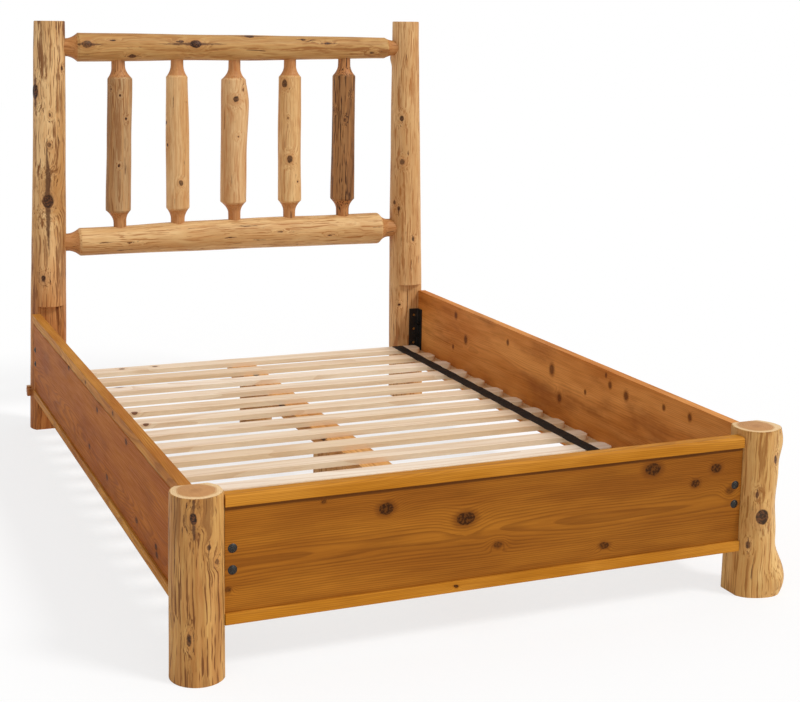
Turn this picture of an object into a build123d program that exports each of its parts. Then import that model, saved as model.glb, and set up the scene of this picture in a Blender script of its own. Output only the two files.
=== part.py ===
from build123d import *
import os

# Rustic log bed for a full-size mattress, in millimetres. X runs across the bed, Y from the foot to
# the head, Z up. The origin lies on the floor under the middle of the frame.

# ------------------------------------------------------------------ sleeping space
well_width = 1400  # between the side rails' inner faces
well_length = 1960  # from the foot rail's inner face to the head posts' flats

# ------------------------------------------------------------------ clearances
wood_fit = 0.3  # round a tenon or dowel in its hole
metal_fit = 0.2  # round a bolt or screw in its hole
end_gap = 1  # past the tip of a tenon, dowel or screw in a blind hole

# ------------------------------------------------------------------ plank rails
rail_bottom = 115
rail_top = 402
board_thickness = 22
trim_depth = 28
trim_height = 26
trim_edge_radius = 2
foot_trim_chamfer = 5
wane_height = 14  # pale bevel of sapwood along a side board's outer top edge
wane_depth = 8
dowel_radius = 4
dowel_length = 30
dowel_inset = 7  # from the rail's inner face
dowels_per_side_joint = 5
dowels_per_foot_joint = 4
dowel_margin = 100  # from a rail's end to its first dowel

# ------------------------------------------------------------------ foot posts
foot_post_heights = {"left": 409, "right": 417}
foot_post_foot_radius = 62
foot_post_top_radius = 57
foot_post_outset = 7  # axis beyond the side rail's inner face
foot_post_setback = 32  # axis behind the foot rail's outer face
foot_post_inner_flat = 54  # from the axis to the flat that carries the foot rail
foot_post_back_flat = 42  # from the axis to the flat that carries the side rail
burl_radius = 66
burl_reach = 27  # beyond the post's skin
burl_height = 42
burl_turn = -20  # degrees from straight outwards towards the foot

# ------------------------------------------------------------------ head posts
head_post_heights = {"left": 1380, "right": 1390}
head_post_foot_radii = {"left": 61, "right": 64}
head_post_top_radii = {"left": 52, "right": 49}
head_post_inset = 28  # axis inside the side rail's inner face
head_post_lean = 28  # the tops lean towards each other by this much each
notch_flat = 40  # from the axis to the notch's flat
notch_height = 427
stub_radius = 16
stub_reach = 12  # a cut branch on the left post
stub_height = 130
post_edge = 3  # eased edge round a post's sawn top
post_overrun = 2  # a leaning log's length past its level cuts

# ------------------------------------------------------------------ headboard
top_rail_drop = 86  # from the left post's top down to the rail's axis
top_rail_radii = (48, 44, 38)
top_rail_tenons = (29, 26.5)
top_rail_shoulder_insets = (148, 140)  # from the side rails' inner faces to the full round
bottom_rail_height = 637
bottom_rail_radii = (47, 54, 55.5)
bottom_rail_tenons = (29.5, 32)
bottom_rail_shoulder_insets = (145, 155)
rail_taper = 42  # from a rail's full round down to its tenon
spindle_pitch = 205.5
spindle_shift = -4  # the middle spindle from the middle of the bed
spindle_radii = (43, 40, 50, 41, 43)
spindle_tenons = (22, 23, 21, 22, 22)
spindle_top_gaps = (105, 100, 110, 102, 99)  # top rail's axis to the full round
spindle_bottom_gaps = (103, 104, 118, 116, 116)  # bottom rail's axis to the full round
spindle_taper = 40
taper_hollow = 0.4  # where a taper's hollow curve reaches the tenon's line, as a share of its length

# ------------------------------------------------------------------ angle brackets and fasteners
bracket_height = 152
bracket_leg = 36
bracket_thickness = 3
bracket_centre = 259
bracket_bend = 3
bracket_screw_spacing = 52
bolt_spacing = 48
bolt_inset = 17  # from the rail's end
bolt_radius = 4
bolt_head_radius = 10.5
bolt_head_height = 4.5
bolt_past_nut = 2
nut_across_flats = 13
nut_height = 6.5
screw_length = 25
screw_shank_radius = 2
screw_head_radius = 4.5
screw_tip = 5

# ------------------------------------------------------------------ cleats, beam and legs
cleat_size = 38
cleat_bottom = 144
cleat_end_gap = 2
cleat_screw_length = 52
cleat_screw_radius = 2.2
cleat_screws_per_side = 6
cleat_screw_margin = 60
foot_cleat_length = 160
foot_cleat_height = 25
foot_cleat_screw_spacing = 100
beam_width = 89
leg_radius = 55
leg_positions = {"middle": 1060, "head": 1790}  # from the foot rail's outer face
lag_radius = 4
lag_length = 100
lag_across_flats = 13
lag_head_height = 5.5
lag_pocket_radius = 11
lag_pocket_depth = 8

# ------------------------------------------------------------------ slats and straps
slat_count = 15
slat_width = 58
slat_thickness = 16
slat_tip_gap = 16  # between a slat's tip and the side rail
slat_corner_radius = 15
slat_edge_radius = 1.5
slat_foot_gap = 64  # foot rail's inner face to the first slat
slat_head_gap = 8  # last slat to the head posts' flats
strap_width = 40
strap_thickness = 1.6
strap_inset = 72  # slat's tip to the strap's middle
strap_end_inset = 4  # from the end slats' outer edges
strap_seat = 0.3  # how deep a strap is pressed into the slats
strap_fit = 0.2  # beside a strap in its seat
staple_crown = 12
staple_wire = 1
staple_leg = 8
staple_spacing = 30  # between the two staples on one slat
staple_fit = 0.1

# ------------------------------------------------------------------ derived places
rail_reach = well_width / 2
foot_post_x = rail_reach + foot_post_outset
head_post_x = rail_reach - head_post_inset
foot_end = foot_post_setback - foot_post_foot_radius
head_end = trim_depth + well_length + notch_flat + max(head_post_foot_radii.values())
rail_face_y = -(foot_end + head_end) / 2  # the foot rail's outer face
foot_post_y = rail_face_y + foot_post_setback
foot_well_y = rail_face_y + trim_depth
head_flat_y = foot_well_y + well_length
head_post_y = head_flat_y + notch_flat
side_rail_foot_y = foot_post_y + foot_post_back_flat
side_rail_length = head_flat_y - side_rail_foot_y
side_rail_mid_y = (head_flat_y + side_rail_foot_y) / 2
foot_rail_length = 2 * (foot_post_x - foot_post_inner_flat)
board_bottom = rail_bottom + trim_height
board_top = rail_top - trim_height
cleat_top = cleat_bottom + cleat_size
sink_radius = screw_head_radius + metal_fit
top_rail_height = head_post_heights["left"] - top_rail_drop
top_rail_shoulders = tuple(
    side * (rail_reach - inset) for side, inset in zip((-1, 1), top_rail_shoulder_insets)
)
bottom_rail_shoulders = tuple(
    side * (rail_reach - inset) for side, inset in zip((-1, 1), bottom_rail_shoulder_insets)
)
sides = {"left": -1, "right": 1}


def head_post_axis_x(side, height):
    """X of a head post's axis at a height, the lean included."""
    return sides[side] * (head_post_x - head_post_lean * height / head_post_heights[side])


def rail_section(middle, outward, along):
    """Section plane of a plank rail: origin on its inner face, x outwards, y up, z along."""
    return Plane(origin=middle, x_dir=outward, z_dir=along)


rails = {
    "side_rail_left": rail_section((-rail_reach, side_rail_mid_y, 0), (-1, 0, 0), (0, 1, 0)),
    "side_rail_right": rail_section((rail_reach, side_rail_mid_y, 0), (1, 0, 0), (0, -1, 0)),
    "foot_rail": rail_section((0, foot_well_y, 0), (0, -1, 0), (-1, 0, 0)),
}
rail_lengths = {
    "side_rail_left": side_rail_length,
    "side_rail_right": side_rail_length,
    "foot_rail": foot_rail_length,
}
rail_dowel_counts = {
    "side_rail_left": dowels_per_side_joint,
    "side_rail_right": dowels_per_side_joint,
    "foot_rail": dowels_per_foot_joint,
}

# An angle bracket's plane has its origin in the inner corner at half height, x along the leg on the
# post and y along the leg on the rail.
foot_rail_end_x = foot_rail_length / 2


def corner_plane(x, y, post_leg, turn):
    """An inner corner's plane at a place, with the post leg's direction and z up (1) or down (-1)."""
    return Plane((x, y, bracket_centre), x_dir=post_leg, z_dir=(0, 0, turn))


corners = {
    "foot_left": corner_plane(-rail_reach, side_rail_foot_y, (1, 0, 0), 1),
    "foot_right": corner_plane(rail_reach, side_rail_foot_y, (-1, 0, 0), -1),
    "head_left": corner_plane(-rail_reach, head_flat_y, (1, 0, 0), -1),
    "head_right": corner_plane(rail_reach, head_flat_y, (-1, 0, 0), 1),
    "foot_rail_left": corner_plane(-foot_rail_end_x, foot_well_y, (0, 1, 0), -1),
    "foot_rail_right": corner_plane(foot_rail_end_x, foot_well_y, (0, 1, 0), 1),
}
rail_corners = {
    "side_rail_left": ["foot_left", "head_left"],
    "side_rail_right": ["foot_right", "head_right"],
    "foot_rail": ["foot_rail_left", "foot_rail_right"],
}


def spread(count, span):
    """Places evenly spread over a span about zero, its ends included."""
    return [span * (index / (count - 1) - 0.5) for index in range(count)]


def bracket_screw_planes(corner):
    """Where a bracket's screws go into the post: origin on the leg, z out of it."""
    return [
        Plane(corner.from_local_coords((bracket_leg / 2, bracket_thickness, rise)), z_dir=corner.y_dir)
        for rise in spread(3, 2 * bracket_screw_spacing)
    ]


def bolt_planes(corner):
    """Where a bracket's bolts go through the rail: origin on the board's outer face, z outwards."""
    return [
        Plane(corner.from_local_coords((-board_thickness, bolt_inset, rise)), z_dir=-corner.x_dir)
        for rise in spread(2, bolt_spacing)
    ]


def rail_dowel_planes(rail, joint_height):
    """The dowels' middles along one joint between a board and a strip, z up."""
    places = spread(rail_dowel_counts[rail], rail_lengths[rail] - 2 * dowel_margin)
    section = rails[rail]
    return [
        Plane(section.from_local_coords((dowel_inset, joint_height, place)), z_dir=(0, 0, 1))
        for place in places
    ]


def cleat_screw_planes(rail):
    """Where the screws go through a cleat into its rail: origin on the cleat, z out of it."""
    section = rails[rail]
    height = cleat_bottom + cleat_size / 2
    span = rail_lengths[rail] - 2 * cleat_screw_margin
    places = spread(cleat_screws_per_side, span)
    if rail == "foot_rail":
        height = cleat_bottom - foot_cleat_height / 2
        places = spread(2, foot_cleat_screw_spacing)
    return [
        Plane(section.from_local_coords((-cleat_size, height, place)), z_dir=-section.x_dir)
        for place in places
    ]


def lag_plane(distance):
    """Where a lag screw goes down into a centre leg: origin in its pocket's floor, z up."""
    return Plane((0, rail_face_y + distance, cleat_top - lag_pocket_depth), z_dir=(0, 0, 1))


def countersunk_screw(length, shank_radius):
    """A flat-headed wood screw with its head's face at z = 0 and its point downwards."""
    with BuildPart() as screw:
        with BuildSketch(Plane.XZ):
            with BuildLine():
                Polyline(
                    (0, 0),
                    (screw_head_radius, 0),
                    (shank_radius, shank_radius - screw_head_radius),
                    (shank_radius, screw_tip - length),
                    (0, -length),
                    close=True,
                )
            make_face()
        revolve(axis=Axis.Z)
    return screw.part


def log_with_tenons(base, tips, shoulders, taper, tenon_radii, body_radii):
    """A round log along base's x, hollowed down to a round tenon at either end.

    Tips and shoulders are places along the axis; body_radii are at the first shoulder, half way
    and at the last one."""
    middle = (shoulders[0] + shoulders[1]) / 2
    with BuildPart() as log:
        with BuildSketch(base):
            with BuildLine():
                Bezier(
                    (shoulders[0], body_radii[0]),
                    (shoulders[0] - taper_hollow * taper, tenon_radii[0]),
                    (shoulders[0] - taper, tenon_radii[0]),
                )
                Polyline(
                    (shoulders[0] - taper, tenon_radii[0]),
                    (tips[0], tenon_radii[0]),
                    (tips[0], 0),
                    (tips[1], 0),
                    (tips[1], tenon_radii[1]),
                    (shoulders[1] + taper, tenon_radii[1]),
                )
                Bezier(
                    (shoulders[1] + taper, tenon_radii[1]),
                    (shoulders[1] + taper_hollow * taper, tenon_radii[1]),
                    (shoulders[1], body_radii[2]),
                )
                Spline(
                    (shoulders[1], body_radii[2]),
                    (middle, body_radii[1]),
                    (shoulders[0], body_radii[0]),
                )
            make_face()
        revolve(axis=Axis(base.origin, base.x_dir))
    return log.part


def write(block, name):
    """Name a finished piece and write it out."""
    block.part.label = name
    export_step(block.part, f"parts/{name}.step")


os.makedirs("parts", exist_ok=True)

# ------------------------------------------------------------------ foot posts
for side, sign in sides.items():
    inner_flat_x = sign * (foot_post_x - foot_post_inner_flat)
    with BuildPart() as foot_post:
        with Locations((sign * foot_post_x, foot_post_y, 0)):
            Cone(
                foot_post_foot_radius,
                foot_post_top_radius,
                foot_post_heights[side],
                align=(Align.CENTER, Align.CENTER, Align.MIN),
            )
        chamfer(foot_post.faces().sort_by(Axis.Z)[-1].edges(), post_edge)
        if side == "right":
            burl_plane = Plane((foot_post_x, foot_post_y, burl_height)).rotated((0, 0, burl_turn))
            with Locations(burl_plane):
                with Locations((foot_post_foot_radius + burl_reach - burl_radius, 0, 0)):
                    Sphere(burl_radius)
            split(bisect_by=Plane.XY, keep=Keep.TOP)
        split(bisect_by=Plane((inner_flat_x, 0, 0), z_dir=(sign, 0, 0)), keep=Keep.TOP)
        split(bisect_by=Plane((0, side_rail_foot_y, 0), z_dir=(0, -1, 0)), keep=Keep.TOP)
        for corner in (f"foot_{side}", f"foot_rail_{side}"):
            with Locations(bracket_screw_planes(corners[corner])):
                Hole(screw_shank_radius + metal_fit, screw_length + end_gap)
    write(foot_post, f"foot_post_{side}")

# ------------------------------------------------------------------ head posts
headboard_rails = {
    "headboard_top_rail": (top_rail_height, top_rail_tenons),
    "headboard_bottom_rail": (bottom_rail_height, bottom_rail_tenons),
}
for side, sign in sides.items():
    axis_foot = Vector(head_post_axis_x(side, 0), head_post_y, 0)
    post_height = head_post_heights[side]
    axis_top = Vector(head_post_axis_x(side, post_height), head_post_y, post_height)
    axis_plane = Plane(axis_foot, x_dir=axis_top - axis_foot, z_dir=(0, -1, 0))
    with BuildPart() as head_post:
        with BuildSketch(axis_plane):
            with BuildLine():
                Polyline(
                    (-post_overrun, 0),
                    (post_height + post_overrun, 0),
                    (post_height + post_overrun, head_post_top_radii[side]),
                    (-post_overrun, head_post_foot_radii[side]),
                    close=True,
                )
            make_face()
        revolve(axis=Axis(axis_foot, axis_plane.x_dir))
        split(bisect_by=Plane.XY, keep=Keep.TOP)
        split(bisect_by=Plane.XY.offset(post_height), keep=Keep.BOTTOM)
        chamfer(head_post.faces().sort_by(Axis.Z)[-1].edges(), post_edge)
        if side == "left":
            with BuildSketch(Plane((head_post_axis_x(side, 0), head_post_y, stub_height), z_dir=(-1, 0, 0))):
                Circle(stub_radius)
            extrude(amount=head_post_foot_radii[side] + stub_reach, taper=2)
        with BuildSketch(Plane.XY):
            with Locations((sign * head_post_x, head_flat_y)):
                Rectangle(2 * rail_reach, 2 * notch_flat, align=(Align.CENTER, Align.MAX))
        extrude(amount=notch_height, mode=Mode.SUBTRACT)
        for rail_height, tenons in headboard_rails.values():
            axis_x = head_post_axis_x(side, rail_height)
            mouth_x = axis_x - sign * head_post_foot_radii[side]
            tenon_radius = tenons[0] if side == "left" else tenons[1]
            with Locations(Plane((mouth_x, head_post_y, rail_height), z_dir=(-sign, 0, 0))):
                Hole(tenon_radius + wood_fit, head_post_foot_radii[side] + end_gap)
        with Locations(bracket_screw_planes(corners[f"head_{side}"])):
            Hole(screw_shank_radius + metal_fit, screw_length + end_gap)
    write(head_post, f"head_post_{side}")

# ------------------------------------------------------------------ headboard rails and spindles
spindle_span = spindle_pitch * (len(spindle_radii) - 1)
spindle_places = [spindle_shift + place for place in spread(len(spindle_radii), spindle_span)]
headboard_logs = {
    "headboard_top_rail": (top_rail_height, top_rail_shoulders, top_rail_tenons, top_rail_radii, -1),
    "headboard_bottom_rail": (
        bottom_rail_height,
        bottom_rail_shoulders,
        bottom_rail_tenons,
        bottom_rail_radii,
        1,
    ),
}
for name, (rail_height, shoulders, tenons, radii, spindle_side) in headboard_logs.items():
    log_base = Plane((0, head_post_y, rail_height), x_dir=(1, 0, 0), z_dir=(0, -1, 0))
    tips = (head_post_axis_x("left", rail_height), head_post_axis_x("right", rail_height))
    with BuildPart() as headboard_rail:
        add(log_with_tenons(log_base, tips, shoulders, rail_taper, tenons, radii))
        for place, tenon_radius in zip(spindle_places, spindle_tenons):
            mouth_z = rail_height + spindle_side * max(radii)
            with Locations(Plane((place, head_post_y, mouth_z), z_dir=(0, 0, spindle_side))):
                Hole(tenon_radius + wood_fit, max(radii) + end_gap)
    write(headboard_rail, name)

for index, place in enumerate(spindle_places):
    spindle_base = Plane((place, head_post_y, 0), x_dir=(0, 0, 1), z_dir=(0, -1, 0))
    shoulders = (
        bottom_rail_height + spindle_bottom_gaps[index],
        top_rail_height - spindle_top_gaps[index],
    )
    with BuildPart() as spindle:
        add(
            log_with_tenons(
                spindle_base,
                (bottom_rail_height, top_rail_height),
                shoulders,
                spindle_taper,
                (spindle_tenons[index], spindle_tenons[index]),
                (spindle_radii[index], spindle_radii[index], spindle_radii[index]),
            )
        )
    write(spindle, f"spindle_{index + 1}")

# ------------------------------------------------------------------ plank rails
for rail, section in rails.items():
    half_length = rail_lengths[rail] / 2
    on_side = rail != "foot_rail"
    with BuildPart() as board:
        with BuildSketch(section):
            with Locations((0, board_bottom)):
                Rectangle(board_thickness, board_top - board_bottom, align=(Align.MIN, Align.MIN))
            if on_side:
                with BuildLine():
                    Polyline(
                        (board_thickness, board_top),
                        (board_thickness - wane_depth, board_top),
                        (board_thickness, board_top - wane_height),
                        close=True,
                    )
                make_face(mode=Mode.SUBTRACT)
        extrude(amount=half_length, both=True)
        for joint_height in (board_bottom, board_top):
            with Locations(rail_dowel_planes(rail, joint_height)):
                Cylinder(dowel_radius + wood_fit, dowel_length + 2 * end_gap, mode=Mode.SUBTRACT)
        for corner in rail_corners[rail]:
            with Locations(bolt_planes(corners[corner])):
                Hole(bolt_radius + metal_fit)
        if on_side:
            with Locations(cleat_screw_planes(rail)):
                Hole(cleat_screw_radius + metal_fit, cleat_screw_length + end_gap)
    write(board, f"{rail}_board")

    for level, strip_bottom, joint_height in (
        ("bottom", rail_bottom, board_bottom),
        ("top", board_top, board_top),
    ):
        with BuildPart() as strip:
            with BuildSketch(section):
                with Locations((0, strip_bottom)):
                    Rectangle(trim_depth, trim_height, align=(Align.MIN, Align.MIN))
            extrude(amount=half_length, both=True)
            long_edges = strip.edges().filter_by(Axis(section.origin, section.z_dir))
            outer_edges = long_edges.sort_by(Axis(section.origin, section.x_dir))[-2:]
            if rail == "foot_rail" and level == "top":
                chamfer(outer_edges.sort_by(Axis.Z)[-1], foot_trim_chamfer)
            else:
                fillet(outer_edges, trim_edge_radius)
            with Locations(rail_dowel_planes(rail, joint_height)):
                Cylinder(dowel_radius + wood_fit, dowel_length + 2 * end_gap, mode=Mode.SUBTRACT)
            if rail == "foot_rail" and level == "bottom":
                with Locations(cleat_screw_planes(rail)):
                    Hole(cleat_screw_radius + metal_fit, cleat_screw_length + end_gap)
        write(strip, f"{rail}_{level}_strip")

with BuildPart() as rail_dowels:
    for rail in rails:
        for joint_height in (board_bottom, board_top):
            with Locations(rail_dowel_planes(rail, joint_height)):
                Cylinder(dowel_radius, dowel_length)
write(rail_dowels, "rail_dowels")

# ------------------------------------------------------------------ angle brackets
for corner, plane in corners.items():
    with BuildPart() as bracket:
        with BuildSketch(plane):
            Rectangle(bracket_leg, bracket_leg, align=(Align.MIN, Align.MIN))
            with Locations((bracket_thickness, bracket_thickness)):
                Rectangle(bracket_leg, bracket_leg, align=(Align.MIN, Align.MIN), mode=Mode.SUBTRACT)
        extrude(amount=bracket_height / 2, both=True)
        upright_edges = bracket.edges().filter_by(Axis.Z)
        bend_line = plane.from_local_coords((bracket_thickness, bracket_thickness, 0))
        fillet(upright_edges.sort_by(lambda edge: (edge.center() - bend_line).length)[0], bracket_bend)
        with Locations(bracket_screw_planes(plane)):
            CounterSinkHole(screw_shank_radius + metal_fit, sink_radius, counter_sink_angle=90)
        with Locations(bolt_planes(plane)):
            Hole(bolt_radius + metal_fit)
    write(bracket, f"bracket_{corner}")

bracket_screw = countersunk_screw(screw_length, screw_shank_radius)
with BuildPart() as bracket_screws:
    for plane in corners.values():
        with Locations(bracket_screw_planes(plane)):
            add(bracket_screw)
write(bracket_screws, "bracket_screws")

bolt_end = board_thickness + bracket_thickness + nut_height + bolt_past_nut
with BuildPart() as carriage_bolt:
    with BuildSketch(Plane.XZ):
        with BuildLine():
            Polyline(
                (bolt_head_radius, 0),
                (bolt_radius, 0),
                (bolt_radius, -bolt_end),
                (0, -bolt_end),
                (0, bolt_head_height),
            )
            RadiusArc((0, bolt_head_height), (bolt_head_radius, 0), bolt_head_radius**2 / bolt_head_height)
        make_face()
    revolve(axis=Axis.Z)
with BuildPart() as carriage_bolts:
    for plane in corners.values():
        with Locations(bolt_planes(plane)):
            add(carriage_bolt.part)
write(carriage_bolts, "carriage_bolts")

nut_seat = board_thickness + bracket_thickness
with BuildPart() as bolt_nut:
    with BuildSketch(Plane.XY.offset(-nut_seat)):
        RegularPolygon(nut_across_flats / 2, 6, major_radius=False)
        Circle(bolt_radius + metal_fit, mode=Mode.SUBTRACT)
    extrude(amount=-nut_height)
with BuildPart() as bolt_nuts:
    for plane in corners.values():
        with Locations(bolt_planes(plane)):
            add(bolt_nut.part)
write(bolt_nuts, "bolt_nuts")

# ------------------------------------------------------------------ cleats
for side in sides:
    rail = f"side_rail_{side}"
    with BuildPart() as cleat:
        with BuildSketch(rails[rail]):
            with Locations((0, cleat_bottom)):
                Rectangle(cleat_size, cleat_size, align=(Align.MAX, Align.MIN))
        extrude(amount=side_rail_length / 2 - cleat_end_gap, both=True)
        with Locations(cleat_screw_planes(rail)):
            CounterSinkHole(cleat_screw_radius + metal_fit, sink_radius, counter_sink_angle=90)
    write(cleat, f"slat_cleat_{side}")

with BuildPart() as foot_beam_cleat:
    with BuildSketch(rails["foot_rail"]):
        with Locations((0, cleat_bottom)):
            Rectangle(cleat_size, foot_cleat_height, align=(Align.MAX, Align.MAX))
    extrude(amount=foot_cleat_length / 2, both=True)
    with Locations(cleat_screw_planes("foot_rail")):
        CounterSinkHole(cleat_screw_radius + metal_fit, sink_radius, counter_sink_angle=90)
write(foot_beam_cleat, "foot_beam_cleat")

cleat_screw = countersunk_screw(cleat_screw_length, cleat_screw_radius)
with BuildPart() as cleat_screws:
    for rail in rails:
        with Locations(cleat_screw_planes(rail)):
            add(cleat_screw)
write(cleat_screws, "cleat_screws")

# ------------------------------------------------------------------ centre beam and its log legs
beam_end_y = head_flat_y - slat_head_gap
with BuildPart() as centre_beam:
    with BuildSketch(Plane.XY.offset(cleat_bottom)):
        with Locations((0, foot_well_y)):
            Rectangle(beam_width, beam_end_y - foot_well_y, align=(Align.CENTER, Align.MIN))
    extrude(amount=cleat_size)
    for distance in leg_positions.values():
        with Locations(lag_plane(distance).offset(lag_pocket_depth)):
            CounterBoreHole(lag_radius + metal_fit, lag_pocket_radius, lag_pocket_depth)
write(centre_beam, "centre_beam")

for place, distance in leg_positions.items():
    with BuildPart() as centre_leg:
        with BuildSketch(Plane.XY):
            with Locations((0, rail_face_y + distance)):
                Circle(leg_radius)
        extrude(amount=cleat_bottom)
        with Locations(lag_plane(distance)):
            Hole(lag_radius + metal_fit, lag_length + end_gap)
    write(centre_leg, f"centre_leg_{place}")

with BuildPart() as leg_lag_screws:
    for distance in leg_positions.values():
        with BuildSketch(lag_plane(distance)):
            RegularPolygon(lag_across_flats / 2, 6, major_radius=False)
        extrude(amount=lag_head_height)
        with BuildSketch(lag_plane(distance)):
            Circle(lag_radius)
        extrude(amount=-lag_length)
write(leg_lag_screws, "leg_lag_screws")

# ------------------------------------------------------------------ slats, straps and staples
slat_reach = rail_reach - slat_tip_gap
slat_top = cleat_top + slat_thickness
strap_bottom = slat_top - strap_seat
first_slat_y = foot_well_y + slat_foot_gap
last_slat_y = head_flat_y - slat_head_gap - slat_width
slat_pitch = (last_slat_y - first_slat_y) / (slat_count - 1)
slat_middles = [first_slat_y + slat_width / 2 + slat_pitch * index for index in range(slat_count)]
strap_x = slat_reach - strap_inset
staple_legs = [((staple_wire - staple_crown) / 2, 0), ((staple_crown - staple_wire) / 2, 0)]
staple_slot = staple_wire + 2 * staple_fit
staple_places = [
    (sign * strap_x, middle + shift)
    for sign in sides.values()
    for middle in slat_middles
    for shift in spread(2, staple_spacing)
]

for index, middle in enumerate(slat_middles):
    with BuildPart() as slat:
        with BuildSketch(Plane.XY.offset(cleat_top)):
            with Locations((0, middle)):
                RectangleRounded(2 * slat_reach, slat_width, slat_corner_radius)
        extrude(amount=slat_thickness)
        fillet(slat.faces().sort_by(Axis.Z)[-1].edges(), slat_edge_radius)
        staple_holes = [(x, y) for x, y in staple_places if abs(y - middle) < slat_width / 2]
        with BuildSketch(Plane.XY.offset(slat_top)):
            with Locations(staple_holes):
                with Locations(staple_legs):
                    Rectangle(staple_slot, staple_slot)
        extrude(amount=-(staple_leg + end_gap), mode=Mode.SUBTRACT)
        with BuildSketch(Plane.XY.offset(strap_bottom)):
            with Locations([(sign * strap_x, middle) for sign in sides.values()]):
                Rectangle(strap_width + 2 * strap_fit, slat_width)
        extrude(amount=strap_thickness, mode=Mode.SUBTRACT)
    write(slat, f"slat_{index + 1:02d}")

strap_foot_y = first_slat_y + strap_end_inset
strap_head_y = last_slat_y + slat_width - strap_end_inset
for side, sign in sides.items():
    with BuildPart() as strap:
        with BuildSketch(Plane.XY.offset(strap_bottom)):
            with Locations((sign * strap_x, strap_foot_y)):
                Rectangle(strap_width, strap_head_y - strap_foot_y, align=(Align.CENTER, Align.MIN))
            with Locations([(x, y) for x, y in staple_places if x * sign > 0]):
                with Locations(staple_legs):
                    Rectangle(staple_slot, staple_slot, mode=Mode.SUBTRACT)
        extrude(amount=strap_thickness)
    write(strap, f"webbing_{side}")

with BuildPart() as staple:
    with BuildSketch(Plane.XZ):
        Rectangle(staple_crown, staple_wire, align=(Align.CENTER, Align.MIN))
        with Locations(staple_legs):
            Rectangle(staple_wire, staple_leg, align=(Align.CENTER, Align.MAX))
    extrude(amount=staple_wire / 2, both=True)
with BuildPart() as strap_staples:
    with Locations([(x, y, strap_bottom + strap_thickness) for x, y in staple_places]):
        add(staple.part)
write(strap_staples, "strap_staples")
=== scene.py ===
"""Rustic log bed: peeled-log posts and spindle headboard, plank rails and a lift-out roll of slats."""

from __future__ import annotations

import logging
from collections.abc import Callable, Iterator
from contextlib import contextmanager
from dataclasses import dataclass
from enum import Enum
from math import cos, hypot, pi, radians, sin

import bpy
from mathutils import Matrix, Vector


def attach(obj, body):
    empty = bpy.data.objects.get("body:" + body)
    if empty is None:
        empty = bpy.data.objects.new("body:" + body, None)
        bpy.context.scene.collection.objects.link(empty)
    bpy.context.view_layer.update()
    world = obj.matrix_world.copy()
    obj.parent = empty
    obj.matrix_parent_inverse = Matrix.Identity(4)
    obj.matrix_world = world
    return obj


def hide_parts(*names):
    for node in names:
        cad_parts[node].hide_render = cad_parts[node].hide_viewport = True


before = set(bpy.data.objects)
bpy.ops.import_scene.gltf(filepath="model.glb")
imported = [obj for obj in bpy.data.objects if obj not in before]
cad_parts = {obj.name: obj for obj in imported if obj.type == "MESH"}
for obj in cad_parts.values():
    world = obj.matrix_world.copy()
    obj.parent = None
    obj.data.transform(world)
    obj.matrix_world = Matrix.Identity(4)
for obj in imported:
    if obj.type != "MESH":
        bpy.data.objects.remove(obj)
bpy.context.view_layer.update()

log = logging.getLogger("log_bed")

Colour = tuple[float, float, float, float]
Place = tuple[float, float, float]
Source = bpy.types.NodeSocket | float | int | tuple | Vector


# ---------------------------------------------------------------- measures
HEAD_FLAT = 0.957
NOTCH_TOP = 0.427
HEADBOARD_Y = 0.997
SLAT_TOP = 0.198
FIRST_SLAT = -0.939
SLAT_PITCH = 0.130714


class Grain(Enum):
    """Which way a piece's grain runs."""

    ACROSS = 0
    ALONG = 1
    UP = 2

    @property
    def direction(self) -> Vector:
        """The grain's direction as a unit vector."""
        return Vector([1.0 if index == self.value else 0.0 for index in range(3)])

    def squeezed(self, stretch: float) -> Place:
        """Factors that make a pattern this much longer along the grain than across it."""
        return tuple(1.0 / stretch if index == self.value else 1.0 for index in range(3))

    @property
    def lateral(self) -> Place:
        """A mask that keeps only the two directions across the grain."""
        return tuple(0.0 if index == self.value else 1.0 for index in range(3))


def shade(red: int, green: int, blue: int) -> Colour:
    """A colour given in screen values, as the linear numbers that Blender takes.

    Args:
        red, green, blue: screen values from 0 to 255.

    Returns:
        The linear colour with full opacity.
    """
    parts = [value / 255 for value in (red, green, blue)]
    linear = [part / 12.92 if part <= 0.04045 else ((part + 0.055) / 1.055) ** 2.4 for part in parts]
    return (linear[0], linear[1], linear[2], 1.0)


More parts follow.
